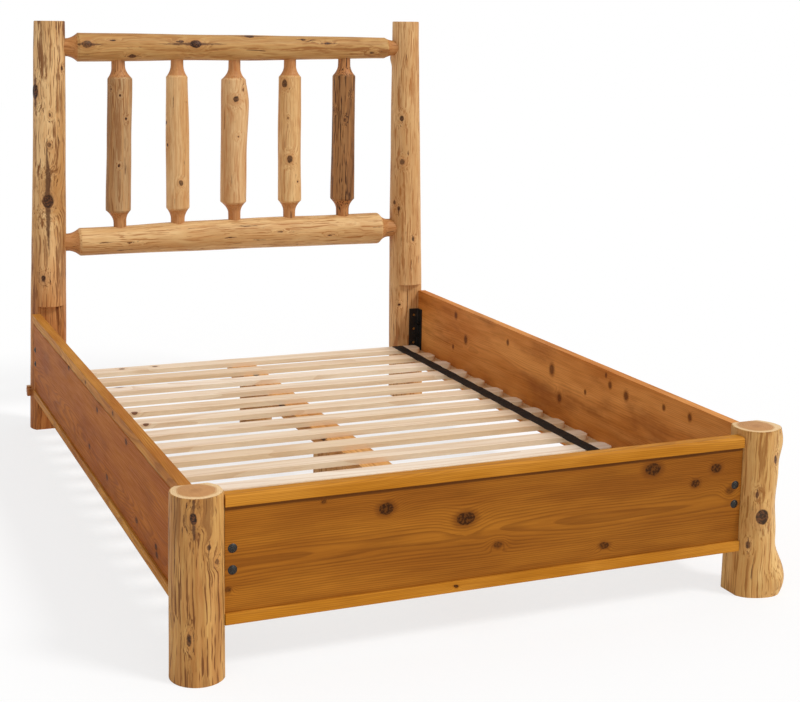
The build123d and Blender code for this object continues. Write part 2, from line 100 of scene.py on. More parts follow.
# ---------------------------------------------------------------- node trees
class Recipe:
    """A node tree that is built up one step at a time."""

    def __init__(self, tree: bpy.types.NodeTree) -> None:
        """Starts from a given tree."""
        self.tree = tree

    def step(self, kind: str, **settings: object) -> bpy.types.Node:
        """Adds one node and sets its options.

        Args:
            kind: the node's type name.
            settings: options of the node by name.

        Returns:
            The new node.
        """
        node = self.tree.nodes.new(kind)
        for name, value in settings.items():
            setattr(node, name, value)
        return node

    def feed(self, socket: bpy.types.NodeSocket, source: Source | None) -> None:
        """Links a socket to another one, or writes a plain value into it.

        Args:
            socket: the socket that is fed.
            source: what it gets; nothing leaves it as it is.
        """
        if source is None:
            return
        if isinstance(source, bpy.types.NodeSocket):
            self.tree.links.new(source, socket)
        else:
            socket.default_value = source

    def maths(self, operation: str, first: Source, second: Source | None = None,
              third: Source | None = None) -> bpy.types.NodeSocket:
        """A sum on numbers.

        Args:
            operation: the node's operation.
            first, second, third: its numbers, as sockets or plain values.

        Returns:
            The result's socket.
        """
        node = self.step("ShaderNodeMath", operation=operation)
        for socket, source in zip(node.inputs, (first, second, third)):
            self.feed(socket, source)
        return node.outputs[0]

    def vector(self, operation: str, first: Source, second: Source | None = None,
               scale: Source | None = None) -> bpy.types.NodeSocket:
        """A sum on vectors.

        Args:
            operation: the node's operation.
            first, second: its vectors.
            scale: the factor of a SCALE operation.

        Returns:
            The result's socket, which is a number for LENGTH.
        """
        node = self.step("ShaderNodeVectorMath", operation=operation)
        self.feed(node.inputs[0], first)
        self.feed(node.inputs[1], second)
        if operation == "SCALE":
            self.feed(node.inputs["Scale"], scale)
        return node.outputs["Value" if operation == "LENGTH" else "Vector"]

    def noise(self, vector: Source, scale: float, detail: float = 2.0, roughness: float = 0.5,
              coloured: bool = False) -> bpy.types.NodeSocket:
        """Cloudy noise at a scale given in repeats per metre.

        Args:
            vector: where it is read.
            scale: repeats per metre.
            detail, roughness: how much finer noise is laid over it.
            coloured: whether three separate noises are wanted, as a colour.

        Returns:
            The noise's socket, from 0 to 1.
        """
        node = self.step("ShaderNodeTexNoise")
        self.feed(node.inputs["Vector"], vector)
        node.inputs["Scale"].default_value = scale
        node.inputs["Detail"].default_value = detail
        node.inputs["Roughness"].default_value = roughness
        return node.outputs["Color" if coloured else "Fac"]

    def band(self, value: Source, start: float, end: float, low: float = 0.0,
             high: float = 1.0) -> bpy.types.NodeSocket:
        """A smooth rise from low to high as a value goes from start to end.

        Args:
            value: the number that is followed.
            start, end: where the rise begins and ends; start may be the larger.
            low, high: the results before and after it.

        Returns:
            The result's socket.
        """
        node = self.step("ShaderNodeMapRange", interpolation_type="SMOOTHSTEP")
        self.feed(node.inputs["Value"], value)
        if start > end:
            start, end, low, high = end, start, high, low
        for name, number in (("From Min", start), ("From Max", end), ("To Min", low), ("To Max", high)):
            node.inputs[name].default_value = number
        return node.outputs[0]

    def blend(self, factor: Source, first: Source, second: Source, mode: str = "MIX") -> bpy.types.NodeSocket:
        """Two colours laid over each other.

        Args:
            factor: how much of the second shows.
            first, second: the colours.
            mode: how the second is laid on.

        Returns:
            The colour's socket.
        """
        node = self.step("ShaderNodeMix", data_type="RGBA", blend_type=mode)
        self.feed(node.inputs[0], factor)
        self.feed(node.inputs[6], first)
        self.feed(node.inputs[7], second)
        return node.outputs[2]

    def split(self, vector: Source, axis: int) -> bpy.types.NodeSocket:
        """Takes one part of a vector.

        Args:
            vector: the vector.
            axis: the part's number, from 0 to 2.

        Returns:
            The part.
        """
        node = self.step("ShaderNodeSeparateXYZ")
        self.feed(node.inputs[0], vector)
        return node.outputs[axis]


class SurfaceRecipe(Recipe):
    """A material with one shader, and steps that end in it."""

    def __init__(self, name: str) -> None:
        """Starts a material.

        Args:
            name: the material's name.
        """
        self.material = bpy.data.materials.new(name)
        self.material.use_nodes = True
        self.material.node_tree.nodes.clear()
        super().__init__(self.material.node_tree)
        self.shader = self.step("ShaderNodeBsdfPrincipled")
        output = self.step("ShaderNodeOutputMaterial")
        self.feed(output.inputs["Surface"], self.shader.outputs[0])
        self.place = self.step("ShaderNodeTexCoord").outputs["Object"]

    def finish(self, colour: Source, roughness: Source, height: Source | None = None, relief: float = 0.001,
               strength: float = 0.5, metallic: float = 0.0, sheen: float = 0.5) -> bpy.types.Material:
        """Connects the colour, gloss and relief to the shader.

        Args:
            colour: the surface's colour.
            roughness: how dull it is.
            height: relief from 0 to 1, or nothing.
            relief: the relief's depth in metres.
            strength: how strongly it shows.
            metallic: 1 for bare metal.
            sheen: the strength of its clear reflections.

        Returns:
            The finished material.
        """
        self.feed(self.shader.inputs["Base Color"], colour)
        self.feed(self.shader.inputs["Roughness"], roughness)
        self.shader.inputs["Metallic"].default_value = metallic
        self.shader.inputs["Specular IOR Level"].default_value = sheen
        if height is not None:
            bump = self.step("ShaderNodeBump")
            bump.inputs["Strength"].default_value = strength
            bump.inputs["Distance"].default_value = relief
            self.feed(bump.inputs["Height"], height)
            self.feed(self.shader.inputs["Normal"], bump.outputs[0])
        return self.material


# ---------------------------------------------------------------- knots
@dataclass(frozen=True)
class Knot:
    """One knot in the wood.

    place is its middle, radius its size across the grain, stretch how much longer it is along it, tail
    the length of the dark lash above and below it, dark how black its core is, halo how strongly the
    wood round it is coloured, and lump how far it stands out of a log.
    """

    place: Place
    radius: float
    stretch: float = 1.3
    tail: float = 0.0
    dark: float = 1.0
    halo: float = 0.7
    lump: float = 0.0


def knot_group(grain: Grain) -> bpy.types.NodeTree:
    """The node group that draws one knot in wood of a given grain, made once for each grain.

    Args:
        grain: which way the wood's grain runs.

    Returns:
        A group that gives a knot's core, halo, rim, lash and the swell of the grain round it.
    """
    name = f"knot_{grain.name.lower()}"
    if name in bpy.data.node_groups:
        return bpy.data.node_groups[name]
    group = bpy.data.node_groups.new(name, "ShaderNodeTree")
    for label, kind in (("Place", "NodeSocketVector"), ("Centre", "NodeSocketVector"),
                        ("Squeeze", "NodeSocketVector"), ("Radius", "NodeSocketFloat"),
                        ("Tail", "NodeSocketFloat")):
        group.interface.new_socket(label, in_out="INPUT", socket_type=kind)
    for label in ("Core", "Halo", "Rim", "Lash", "Swell"):
        group.interface.new_socket(label, in_out="OUTPUT", socket_type="NodeSocketFloat")
    recipe = Recipe(group)
    given = recipe.step("NodeGroupInput").outputs
    result = recipe.step("NodeGroupOutput").inputs
    away = recipe.vector("SUBTRACT", given["Place"], given["Centre"])
    squeezed = recipe.vector("MULTIPLY", away, given["Squeeze"])
    distance = recipe.maths("DIVIDE", recipe.vector("LENGTH", squeezed), given["Radius"])
    recipe.feed(result["Core"], recipe.band(distance, 0.97, 0.80))
    recipe.feed(result["Halo"], recipe.band(distance, 1.75, 0.9))
    recipe.feed(result["Rim"], recipe.maths("MULTIPLY", recipe.band(distance, 1.42, 1.56),
                                            recipe.band(distance, 1.74, 1.58)))
    squared = recipe.maths("MULTIPLY", distance, distance)
    recipe.feed(result["Swell"], recipe.maths("EXPONENT", recipe.maths("MULTIPLY", squared, -0.28)))
    side = recipe.vector("LENGTH", recipe.vector("MULTIPLY", away, grain.lateral))
    reach = recipe.vector("LENGTH", recipe.vector("MULTIPLY", away, tuple(grain.direction)))
    left = recipe.maths("MAXIMUM", recipe.maths("SUBTRACT", 1.0,
                                                recipe.maths("DIVIDE", reach, given["Tail"])), 0.0)
    width = recipe.maths("MULTIPLY", left, recipe.maths("MULTIPLY", given["Radius"], 0.55))
    edge = recipe.maths("DIVIDE", recipe.maths("SUBTRACT", width, side),
                        recipe.maths("MULTIPLY", given["Radius"], 0.22))
    recipe.feed(result["Lash"], recipe.maths("MINIMUM", recipe.maths("MAXIMUM", edge, 0.0), 1.0))
    return group


@dataclass
class KnotField:
    """All the knots of one piece, as numbers that its material can use.

    Attributes:
        core: the knots' dark hearts.
        halo: the wood close round them.
        rim: the line at their edges.
        lash: the dark streaks that run out of them along the grain.
        swell: how far they push the grain aside.
    """

    core: bpy.types.NodeSocket | float = 0.0
    halo: bpy.types.NodeSocket | float = 0.0
    rim: bpy.types.NodeSocket | float = 0.0
    lash: bpy.types.NodeSocket | float = 0.0
    swell: bpy.types.NodeSocket | float = 0.0

    @classmethod
    def draw(cls, recipe: Recipe, place: Source, grain: Grain, knots: tuple[Knot, ...]) -> KnotField:
        """Draws every knot and gathers them.

        Args:
            recipe: the material's tree.
            place: where a point is.
            grain: which way the grain runs.
            knots: the knots.

        Returns:
            The gathered field.
        """
        found = cls()
        for knot in knots:
            node = recipe.step("ShaderNodeGroup", node_tree=knot_group(grain))
            recipe.feed(node.inputs["Place"], place)
            node.inputs["Centre"].default_value = knot.place
            node.inputs["Squeeze"].default_value = grain.squeezed(knot.stretch)
            node.inputs["Radius"].default_value = knot.radius
            node.inputs["Tail"].default_value = max(knot.tail, 0.0001)
            core = recipe.maths("MULTIPLY", node.outputs["Core"], knot.dark)
            halo = recipe.maths("MULTIPLY", node.outputs["Halo"], knot.halo)
            found.core = recipe.maths("MAXIMUM", core, found.core)
            found.halo = recipe.maths("MAXIMUM", halo, found.halo)
            found.rim = recipe.maths("MAXIMUM", recipe.maths("MULTIPLY", node.outputs["Rim"], knot.halo),
                                     found.rim)
            if knot.tail:
                found.lash = recipe.maths("MAXIMUM", node.outputs["Lash"], found.lash)
            found.swell = recipe.maths("ADD", node.outputs["Swell"], found.swell)
        return found


# ---------------------------------------------------------------- finishes
@dataclass(frozen=True)
class PeeledLog:
    """A log peeled with a drawknife: pale wood with orange streaks, flame figure, specks and knots.

    Attributes:
        name: the material's name.
        grain: which way the log lies.
        pale, tan: the wood's two tones.
        streak: the colour of its streaks and fine lines.
        dark: the colour of its specks and of the streaks out of its knots.
        neck: the tone of its turned tenons.
        halo: the tone of its flame figure and round its knots.
        streaks, specks, hairs: how strong the streaks, the specks and the fine lines are, from 0 to 1.
        seed: where its own figure starts.
        knots: its knots.
        necks: the places along the grain where turned tenons begin.
        foot_shade: how brown it gets below knee height, from 0 to 1.
    """

    name: str
    grain: Grain
    pale: Colour = shade(226, 190, 138)
    tan: Colour = shade(201, 155, 102)
    streak: Colour = shade(168, 106, 54)
    dark: Colour = shade(84, 50, 28)
    neck: Colour = shade(184, 124, 70)
    halo: Colour = shade(206, 150, 88)
    streaks: float = 0.75
    specks: float = 0.8
    hairs: float = 0.55
    seed: float = 0.0
    knots: tuple[Knot, ...] = ()
    necks: tuple[float, float] | None = None
    foot_shade: float = 0.0

    def material(self) -> bpy.types.Material:
        """Draws the finish.

        Returns:
            The finish as a material.
        """
        recipe = SurfaceRecipe(self.name)
        shift = (self.seed, self.seed * 0.7, self.seed * 1.3)
        moved = recipe.vector("ADD", recipe.place, shift)
        wander = recipe.vector("SCALE", recipe.vector("SUBTRACT", recipe.noise(moved, 7, 2, coloured=True),
                                                      (0.5,) * 3),
                               scale=0.018)
        bent = recipe.vector("ADD", recipe.place, wander)
        fray = recipe.vector("SCALE", recipe.vector("SUBTRACT", recipe.noise(moved, 70, 2, coloured=True),
                                                    (0.5,) * 3),
                             scale=0.007)
        knots = KnotField.draw(recipe, recipe.vector("ADD", recipe.place, fray), self.grain, self.knots)
        swollen = recipe.vector("ADD", recipe.vector("ADD", bent, shift),
                                recipe.vector("SCALE", (0.018, 0.018, 0.018), scale=knots.swell))
        long = recipe.vector("MULTIPLY", swollen, self.grain.squeezed(12))
        longer = recipe.vector("MULTIPLY", swollen, self.grain.squeezed(16))
        tone = recipe.band(recipe.noise(long, 15, 4, 0.6), 0.36, 0.64)
        colour = recipe.blend(tone, self.pale, self.tan)
        if self.necks:
            at = recipe.split(recipe.vector("ADD", recipe.place, recipe.vector("SCALE", wander, scale=0.25)),
                              self.grain.value)
            low, high = self.necks
            turned = recipe.maths("MAXIMUM", recipe.band(at, low, low - 0.005),
                                  recipe.band(at, high, high + 0.005))
            colour = recipe.blend(recipe.maths("MULTIPLY", turned, 0.8), colour, self.neck)
        waves = recipe.maths("MULTIPLY", recipe.noise(long, 7, 1), 46.0)
        waves = recipe.maths("ADD", waves, recipe.maths("MULTIPLY", knots.swell, 5.0))
        figure = recipe.band(recipe.maths("SINE", recipe.maths("MULTIPLY", waves, 2.0)), 0.35, 1.0)
        colour = recipe.blend(recipe.maths("MULTIPLY", figure, 0.28), colour, self.halo)
        clouds = recipe.noise(long, 9, 2)
        patches = recipe.band(recipe.noise(long, 46, 5, 0.66), 0.54, 0.62)
        colour = recipe.blend(recipe.maths("MULTIPLY", patches,
                                           recipe.maths("MULTIPLY",
                                                        recipe.band(clouds, 0.35, 0.65, 0.35, 1.0),
                                                        self.streaks)),
                              colour, self.streak)
        fibres = recipe.noise(longer, 210, 3, 0.6)
        colour = recipe.blend(recipe.band(fibres, 0.30, 0.72, 0.0, 0.34), colour, self.halo, "MULTIPLY")
        hairs = recipe.band(recipe.noise(recipe.vector("MULTIPLY", swollen, self.grain.squeezed(40)), 250, 2,
                                         0.5), 0.55, 0.63)
        colour = recipe.blend(recipe.maths("MULTIPLY", hairs, self.hairs), colour, self.streak)
        dashes = recipe.band(recipe.noise(longer, 120, 4, 0.55), 0.665, 0.70)
        colour = recipe.blend(recipe.maths("MULTIPLY", dashes, self.specks), colour, self.dark)
        if self.foot_shade:
            height = recipe.split(bent, 2)
            colour = recipe.blend(recipe.band(height, 0.75, 0.25, 0.0, self.foot_shade), colour,
                                  shade(214, 160, 100), "MULTIPLY")
        colour = recipe.blend(recipe.maths("MULTIPLY", knots.halo, 0.45), colour, self.pale)
        colour = recipe.blend(recipe.maths("MULTIPLY", knots.halo, 0.5), colour, self.halo, "MULTIPLY")
        colour = recipe.blend(recipe.maths("MULTIPLY", knots.rim, 0.3), colour, self.streak)
        colour = recipe.blend(recipe.maths("MULTIPLY", knots.lash, 0.85), colour, self.dark)
        dark_marks = recipe.blend(recipe.band(recipe.noise(recipe.place, 190, 3), 0.42, 0.6), shade(38, 22, 13),
                            shade(98, 58, 30))
        colour = recipe.blend(knots.core, colour, dark_marks)
        height = recipe.maths("SUBTRACT", recipe.maths("MULTIPLY", fibres, 0.35),
                              recipe.maths("MULTIPLY", patches, 0.35))
        height = recipe.maths("SUBTRACT", height, recipe.maths("MULTIPLY", dashes, 0.5))
        height = recipe.maths("SUBTRACT", height, knots.core)
        rough = recipe.band(fibres, 0.2, 0.8, 0.46, 0.62)
        return recipe.finish(colour, rough, height, relief=0.0016, strength=0.55, sheen=0.22)


@dataclass(frozen=True)
class SawnEnd:
    """A log's sawn end: growth rings round a brown heart, with a pale rim of sapwood.

    Attributes:
        name: the material's name.
        grain: which way the log lies.
        centre: a point on the log's axis.
        heart_radius: the radius of the brown heart.
        heart, sapwood, ring: the colours of the heart, of the rim and of the growth rings.
    """

    name: str
    grain: Grain
    centre: Place
    heart_radius: float
    heart: Colour = shade(202, 148, 92)
    sapwood: Colour = shade(232, 198, 148)
    ring: Colour = shade(164, 110, 60)

    def material(self) -> bpy.types.Material:
        """Draws the finish.

        Returns:
            The finish as a material.
        """
        recipe = SurfaceRecipe(self.name)
        away = recipe.vector("MULTIPLY", recipe.vector("SUBTRACT", recipe.place, self.centre),
                             self.grain.lateral)
        wobble = recipe.maths("MULTIPLY", recipe.maths("SUBTRACT", recipe.noise(recipe.place, 24, 2), 0.5),
                              0.014)
        distance = recipe.maths("ADD", recipe.vector("LENGTH", away), wobble)
        rings = recipe.maths("SINE", recipe.maths("MULTIPLY", distance, 2 * pi / 0.0042))
        heart = recipe.blend(recipe.band(rings, -0.2, 1.0, 0.0, 0.6), self.heart, self.ring)
        heart = recipe.blend(recipe.band(distance, 0.018, 0.004, 0.0, 0.45), heart, self.ring)
        sapwood = recipe.blend(recipe.band(rings, 0.0, 1.0, 0.0, 0.25), self.sapwood, self.heart)
        colour = recipe.blend(recipe.band(distance, self.heart_radius - 0.007, self.heart_radius + 0.002),
                              heart, sapwood)
        saw = recipe.noise(recipe.vector("MULTIPLY", recipe.place, (1.0, 0.15, 1.0)), 420, 2)
        colour = recipe.blend(recipe.band(saw, 0.4, 0.8, 0.0, 0.25), colour, self.ring, "MULTIPLY")
        return recipe.finish(colour, 0.62, saw, relief=0.0006, strength=0.4, sheen=0.3)


@dataclass(frozen=True)
class Plank:
    """A sawn and oiled board: growth lines cut at a flat angle, with knots that push them aside.

    Attributes:
        name: the material's name.
        grain: which way the board lies.
        pith: the line that the rings run round.
        pale, tan: the wood's two tones.
        line: the colour of its growth lines and stains.
        ring_gap: the spacing of the rings.
        contrast: how strong the growth lines are, from 0 to 1.
        drift, drift_span: the browning from one end to the other, and how far it takes to come.
        upper: the browning towards the top edge.
        knots: its knots.
        gloss: how glossy the oil is.
        seed: where its own figure starts.
        wander: how far the rings wander off their round.
        blotches: how strong its stains are, from 0 to 1.
        edge: a height above which a band of painted light is laid, and its colour: painted shade under the
            top strip on the foot board, a painted highlight along the left board's top edge.
    """

    name: str
    grain: Grain
    pith: Place
    pale: Colour
    tan: Colour
    line: Colour
    ring_gap: float = 0.006
    contrast: float = 0.5
    drift: float = 0.0
    upper: float = 0.0
    drift_span: float = 0.7
    knots: tuple[Knot, ...] = ()
    gloss: float = 0.5
    seed: float = 0.0
    wander: float = 0.075
    blotches: float = 0.2
    edge: tuple[float, Colour] | None = None

    def material(self) -> bpy.types.Material:
        """Draws the finish.

        Returns:
            The finish as a material.
        """
        recipe = SurfaceRecipe(self.name)
        shift = (self.seed, self.seed * 0.7, self.seed * 1.3)
        moved = recipe.vector("ADD", recipe.place, shift)
        fray = recipe.vector("SCALE", recipe.vector("SUBTRACT", recipe.noise(moved, 60, 2, coloured=True),
                                                    (0.5,) * 3),
                             scale=0.006)
        knots = KnotField.draw(recipe, recipe.vector("ADD", recipe.place, fray), self.grain, self.knots)
        long = recipe.vector("MULTIPLY", moved, self.grain.squeezed(6))
        longer = recipe.vector("MULTIPLY", moved, self.grain.squeezed(30))
        away = recipe.vector("MULTIPLY", recipe.vector("SUBTRACT", recipe.place, self.pith),
                             self.grain.lateral)
        wander = recipe.maths("MULTIPLY", recipe.maths("SUBTRACT", recipe.noise(long, 7, 2, 0.5), 0.5),
                              self.wander)
        swell = recipe.maths("MULTIPLY", knots.swell, 0.012)
        distance = recipe.maths("ADD", recipe.maths("ADD", recipe.vector("LENGTH", away), wander), swell)
        turns = recipe.maths("FRACT", recipe.maths("DIVIDE", distance, self.ring_gap))
        late = recipe.maths("MULTIPLY", recipe.band(turns, 0.35, 0.86), recipe.band(turns, 1.0, 0.93))
        fibres = recipe.noise(longer, 230, 3, 0.6)
        clouds = recipe.noise(long, 11, 3, 0.6)
        colour = recipe.blend(recipe.band(clouds, 0.32, 0.68), self.pale, self.tan)
        if self.drift:
            along = recipe.split(moved, self.grain.value)
            colour = recipe.blend(recipe.band(along, -self.drift_span, self.drift_span, 0.0, self.drift),
                                  colour, self.line)
        if self.upper:
            height = recipe.maths("ADD", recipe.split(moved, 2), recipe.maths("MULTIPLY", clouds, 0.10))
            colour = recipe.blend(recipe.band(height, 0.24, 0.36, 0.0, self.upper), colour, self.line)
        stains = recipe.band(recipe.noise(recipe.vector("MULTIPLY", moved, self.grain.squeezed(3)), 11, 5,
                                          0.6), 0.48, 0.76)
        colour = recipe.blend(recipe.maths("MULTIPLY", stains, self.blotches), colour, self.line)
        # Painted light: above the given height a band of the given colour is laid over the board, as painted
        # shade or a painted highlight along its top edge.
        if self.edge:
            start, tone = self.edge
            level = recipe.maths("ADD", recipe.split(recipe.place, 2),
                                 recipe.maths("MULTIPLY",
                                              recipe.maths("SUBTRACT", recipe.noise(long, 30, 2), 0.5),
                                              0.010))
            colour = recipe.blend(recipe.band(level, start - 0.002, start + 0.002, 0.0, 0.8), colour, tone)
        colour = recipe.blend(recipe.maths("MULTIPLY", late, self.contrast), colour, self.line)
        colour = recipe.blend(recipe.band(fibres, 0.35, 0.75, 0.0, 0.22), colour, self.line, "MULTIPLY")
        colour = recipe.blend(recipe.maths("MULTIPLY", knots.halo, 0.65), colour, self.line)
        core = recipe.blend(recipe.band(recipe.noise(recipe.place, 160, 2), 0.4, 0.62), shade(54, 28, 8),
                            shade(96, 54, 16))
        colour = recipe.blend(recipe.maths("MULTIPLY", knots.lash, 0.7), colour, shade(80, 44, 22))
        colour = recipe.blend(knots.core, colour, core)
        height = recipe.maths("SUBTRACT", recipe.maths("MULTIPLY", fibres, 0.5),
                              recipe.maths("MULTIPLY", late, 0.3))
        rough = recipe.band(fibres, 0.2, 0.8, self.gloss - 0.06, self.gloss + 0.1)
        return recipe.finish(colour, rough, height, relief=0.0004, strength=0.35, sheen=0.06)


@dataclass(frozen=True)
class SlatPine:
    """Planed white pine for the slats: every slat has a tone of its own, and their side faces get a painted
    tint for how the light falls on them.

    Attributes:
        foot_edge: where the first slat lies along the bed.
        pitch: the distance from one slat to the next.
        knots: the slats' knots.
    """

    name: str = "slat_pine"
    pale: Colour = shade(246, 230, 210)
    tan: Colour = shade(230, 204, 172)
    line: Colour = shade(204, 164, 122)
    # painted light: the tint laid on the side faces for how the light falls on them
    edge: Colour = shade(254, 252, 240)
    foot_edge: float = FIRST_SLAT
    pitch: float = SLAT_PITCH
    knots: tuple[Knot, ...] = ()

    def material(self) -> bpy.types.Material:
        """Draws the finish.

        Returns:
            The finish as a material.
        """
        recipe = SurfaceRecipe(self.name)
        along = recipe.split(recipe.place, 1)
        number = recipe.maths("FLOOR", recipe.maths("DIVIDE", recipe.maths("SUBTRACT", along, self.foot_edge),
                                                    self.pitch))
        lot = recipe.step("ShaderNodeTexWhiteNoise", noise_dimensions="1D")
        recipe.feed(lot.inputs["W"], number)
        moved = recipe.vector("ADD", recipe.place, recipe.vector("SCALE", lot.outputs["Color"], scale=7.0))
        long = recipe.vector("MULTIPLY", moved, (1 / 12, 1.0, 1.0))
        longer = recipe.vector("MULTIPLY", moved, (1 / 30, 1.0, 1.0))
        knots = KnotField.draw(recipe, recipe.place, Grain.ACROSS, self.knots)
        own = recipe.maths("ADD", recipe.maths("MULTIPLY", lot.outputs["Value"], 0.5),
                           recipe.maths("MULTIPLY", recipe.noise(long, 20, 3), 0.7))
        colour = recipe.blend(recipe.band(own, 0.25, 0.85), self.pale, self.tan)
        bands = recipe.maths("ADD", recipe.maths("MULTIPLY", recipe.noise(long, 9, 1), 9.0),
                             recipe.maths("MULTIPLY", knots.swell, 1.4))
        late = recipe.band(recipe.maths("FRACT", bands), 0.55, 0.95)
        colour = recipe.blend(recipe.maths("MULTIPLY", late, 0.35), colour, self.line)
        fibres = recipe.noise(longer, 260, 3, 0.6)
        colour = recipe.blend(recipe.band(fibres, 0.42, 0.8, 0.0, 0.3), colour, self.line, "MULTIPLY")
        # Painted light: the faces that look along the bed are multiplied by the edge tint, for how the light
        # falls on them.
        facing = recipe.step("ShaderNodeTexCoord").outputs["Normal"]
        side = recipe.maths("ABSOLUTE", recipe.split(facing, 1))
        colour = recipe.blend(recipe.band(side, 0.5, 0.9, 0.0, 0.75), colour, self.edge, "MULTIPLY")
        colour = recipe.blend(recipe.maths("MULTIPLY", knots.halo, 0.6), colour, self.line)
        colour = recipe.blend(knots.core, colour, shade(104, 58, 34))
        return recipe.finish(colour, recipe.band(fibres, 0.2, 0.8, 0.55, 0.7), fibres, relief=0.0004,
                             strength=0.3, sheen=0.25)


@dataclass(frozen=True)
class Metal:
    """A metal fitting's finish: painted, blackened or bright, a little uneven and worn.

    Attributes:
        name: the material's name.
        base, worn: its colour, and its colour where it is worn.
        roughness, metallic: how rough and how metallic it is, from 0 to 1.
        dents: how fine its unevenness is.
        relief: how deep its unevenness is, in metres.
    """

    name: str
    base: Colour
    worn: Colour
    roughness: float
    metallic: float
    dents: float = 120.0
    relief: float = 0.0003

    def material(self) -> bpy.types.Material:
        """Draws the finish.

        Returns:
            The finish as a material.
        """
        recipe = SurfaceRecipe(self.name)
        dents = recipe.noise(recipe.place, self.dents, 3, 0.6)
        wear = recipe.band(recipe.noise(recipe.place, self.dents * 2.6, 4, 0.7), 0.52, 0.7)
        colour = recipe.blend(wear, self.base, self.worn)
        rough = recipe.band(dents, 0.3, 0.7, self.roughness, self.roughness + 0.15)
        return recipe.finish(colour, rough, dents, relief=self.relief, strength=0.5, metallic=self.metallic)


@dataclass(frozen=True)
class WovenTape:
    """Black webbing: a fine twill with paler wear on its ribs.

    Attributes:
        name: the material's name.
        rib_pitch: the distance from one rib to the next.
    """

    name: str = "black_webbing"
    rib_pitch: float = 0.0035

    def material(self) -> bpy.types.Material:
        """Draws the finish.

        Returns:
            The finish as a material.
        """
        recipe = SurfaceRecipe(self.name)
        across = recipe.split(recipe.place, 0)
        along = recipe.split(recipe.place, 1)
        twill = recipe.maths("SINE", recipe.maths("MULTIPLY",
                                                  recipe.maths("ADD", along,
                                                               recipe.maths("MULTIPLY", across, 0.6)),
                                                  2 * pi / self.rib_pitch))
        threads = recipe.maths("SINE", recipe.maths("MULTIPLY", across, 2 * pi / 0.0050))
        weave = recipe.maths("ADD", recipe.maths("MULTIPLY", twill, 0.15),
                             recipe.maths("MULTIPLY", threads, 0.35))
        height = recipe.maths("ADD", weave, 0.5)
        wear = recipe.maths("MULTIPLY", recipe.band(height, 0.5, 0.95), recipe.noise(recipe.place, 30, 3))
        colour = recipe.blend(wear, shade(16, 13, 10), shade(62, 52, 42))
        return recipe.finish(colour, 0.72, height, relief=0.0006, strength=0.8, sheen=0.3)


# ---------------------------------------------------------------- mesh work
@contextmanager
def editing(piece: bpy.types.Object) -> Iterator[None]:
    """Puts one piece in edit mode, and takes it out again.

    Args:
        piece: the piece.

    Yields:
        Nothing, while the piece is in edit mode.
    """
    bpy.ops.object.select_all(action="DESELECT")
    piece.select_set(True)
    bpy.context.view_layer.objects.active = piece
    bpy.ops.object.mode_set(mode="EDIT")
    yield
    bpy.ops.object.mode_set(mode="OBJECT")


def pick(piece: bpy.types.Object, faces: Callable[[bpy.types.MeshPolygon], bool] | None = None,
         vertices: list[int] | None = None,
         edges: Callable[[bpy.types.MeshEdge], bool] | None = None) -> None:
    """Selects faces, vertices or edges of a piece for the next edit, and nothing else.

    Args:
        piece: the piece, in object mode.
        faces: says whether a face is wanted.
        vertices: the wanted vertices by number.
        edges: says whether an edge is wanted.
    """
    mesh = piece.data
    for part in (mesh.vertices, mesh.edges, mesh.polygons):
        part.foreach_set("select", [False] * len(part))
    if faces is not None:
        bpy.context.tool_settings.mesh_select_mode = (False, False, True)
        for polygon in mesh.polygons:
            polygon.select = faces(polygon)
    if vertices is not None:
        bpy.context.tool_settings.mesh_select_mode = (True, False, False)
        for index in vertices:
            mesh.vertices[index].select = True
    if edges is not None:
        bpy.context.tool_settings.mesh_select_mode = (False, True, False)
        for edge in mesh.edges:
            edge.select = edges(edge)


def apply(piece: bpy.types.Object, modifier: bpy.types.Modifier) -> None:
    """Applies one modifier to a piece.

    Args:
        piece: the piece.
        modifier: the modifier, which is gone afterwards.
    """
    bpy.ops.object.select_all(action="DESELECT")
    piece.select_set(True)
    bpy.context.view_layer.objects.active = piece
    bpy.ops.object.modifier_apply(modifier=modifier.name)


def cut(piece: bpy.types.Object, place: Vector, outwards: Vector) -> None:
    """Cuts a piece flat through a place and closes the cut.

    Args:
        piece: the piece.
        place: a point on the cut.
        outwards: the side that comes off.
    """
    with editing(piece):
        bpy.ops.mesh.select_all(action="SELECT")
        bpy.ops.mesh.bisect(plane_co=place, plane_no=outwards, use_fill=True, clear_outer=True)


def smooth(piece: bpy.types.Object, angle: float = 38.0) -> None:
    """Shades a piece smooth, but for its sharp edges.

    Args:
        piece: the piece.
        angle: the angle in degrees from which an edge stays sharp.
    """
    bpy.ops.object.select_all(action="DESELECT")
    piece.select_set(True)
    bpy.context.view_layer.objects.active = piece
    bpy.ops.object.shade_smooth_by_angle(angle=radians(angle))


@dataclass(frozen=True)
class Station:
    """One level of a log: its distance along the grain, its radius, and how far its middle lies off."""

    at: float
    radius: float
    off: tuple[float, float] = (0.0, 0.0)


@dataclass(frozen=True)
class Lump:
    """A swelling or hollow in a log: where it is, how far it moves the skin out, and how far it reaches."""

    place: Place
    push: float
    reach: float


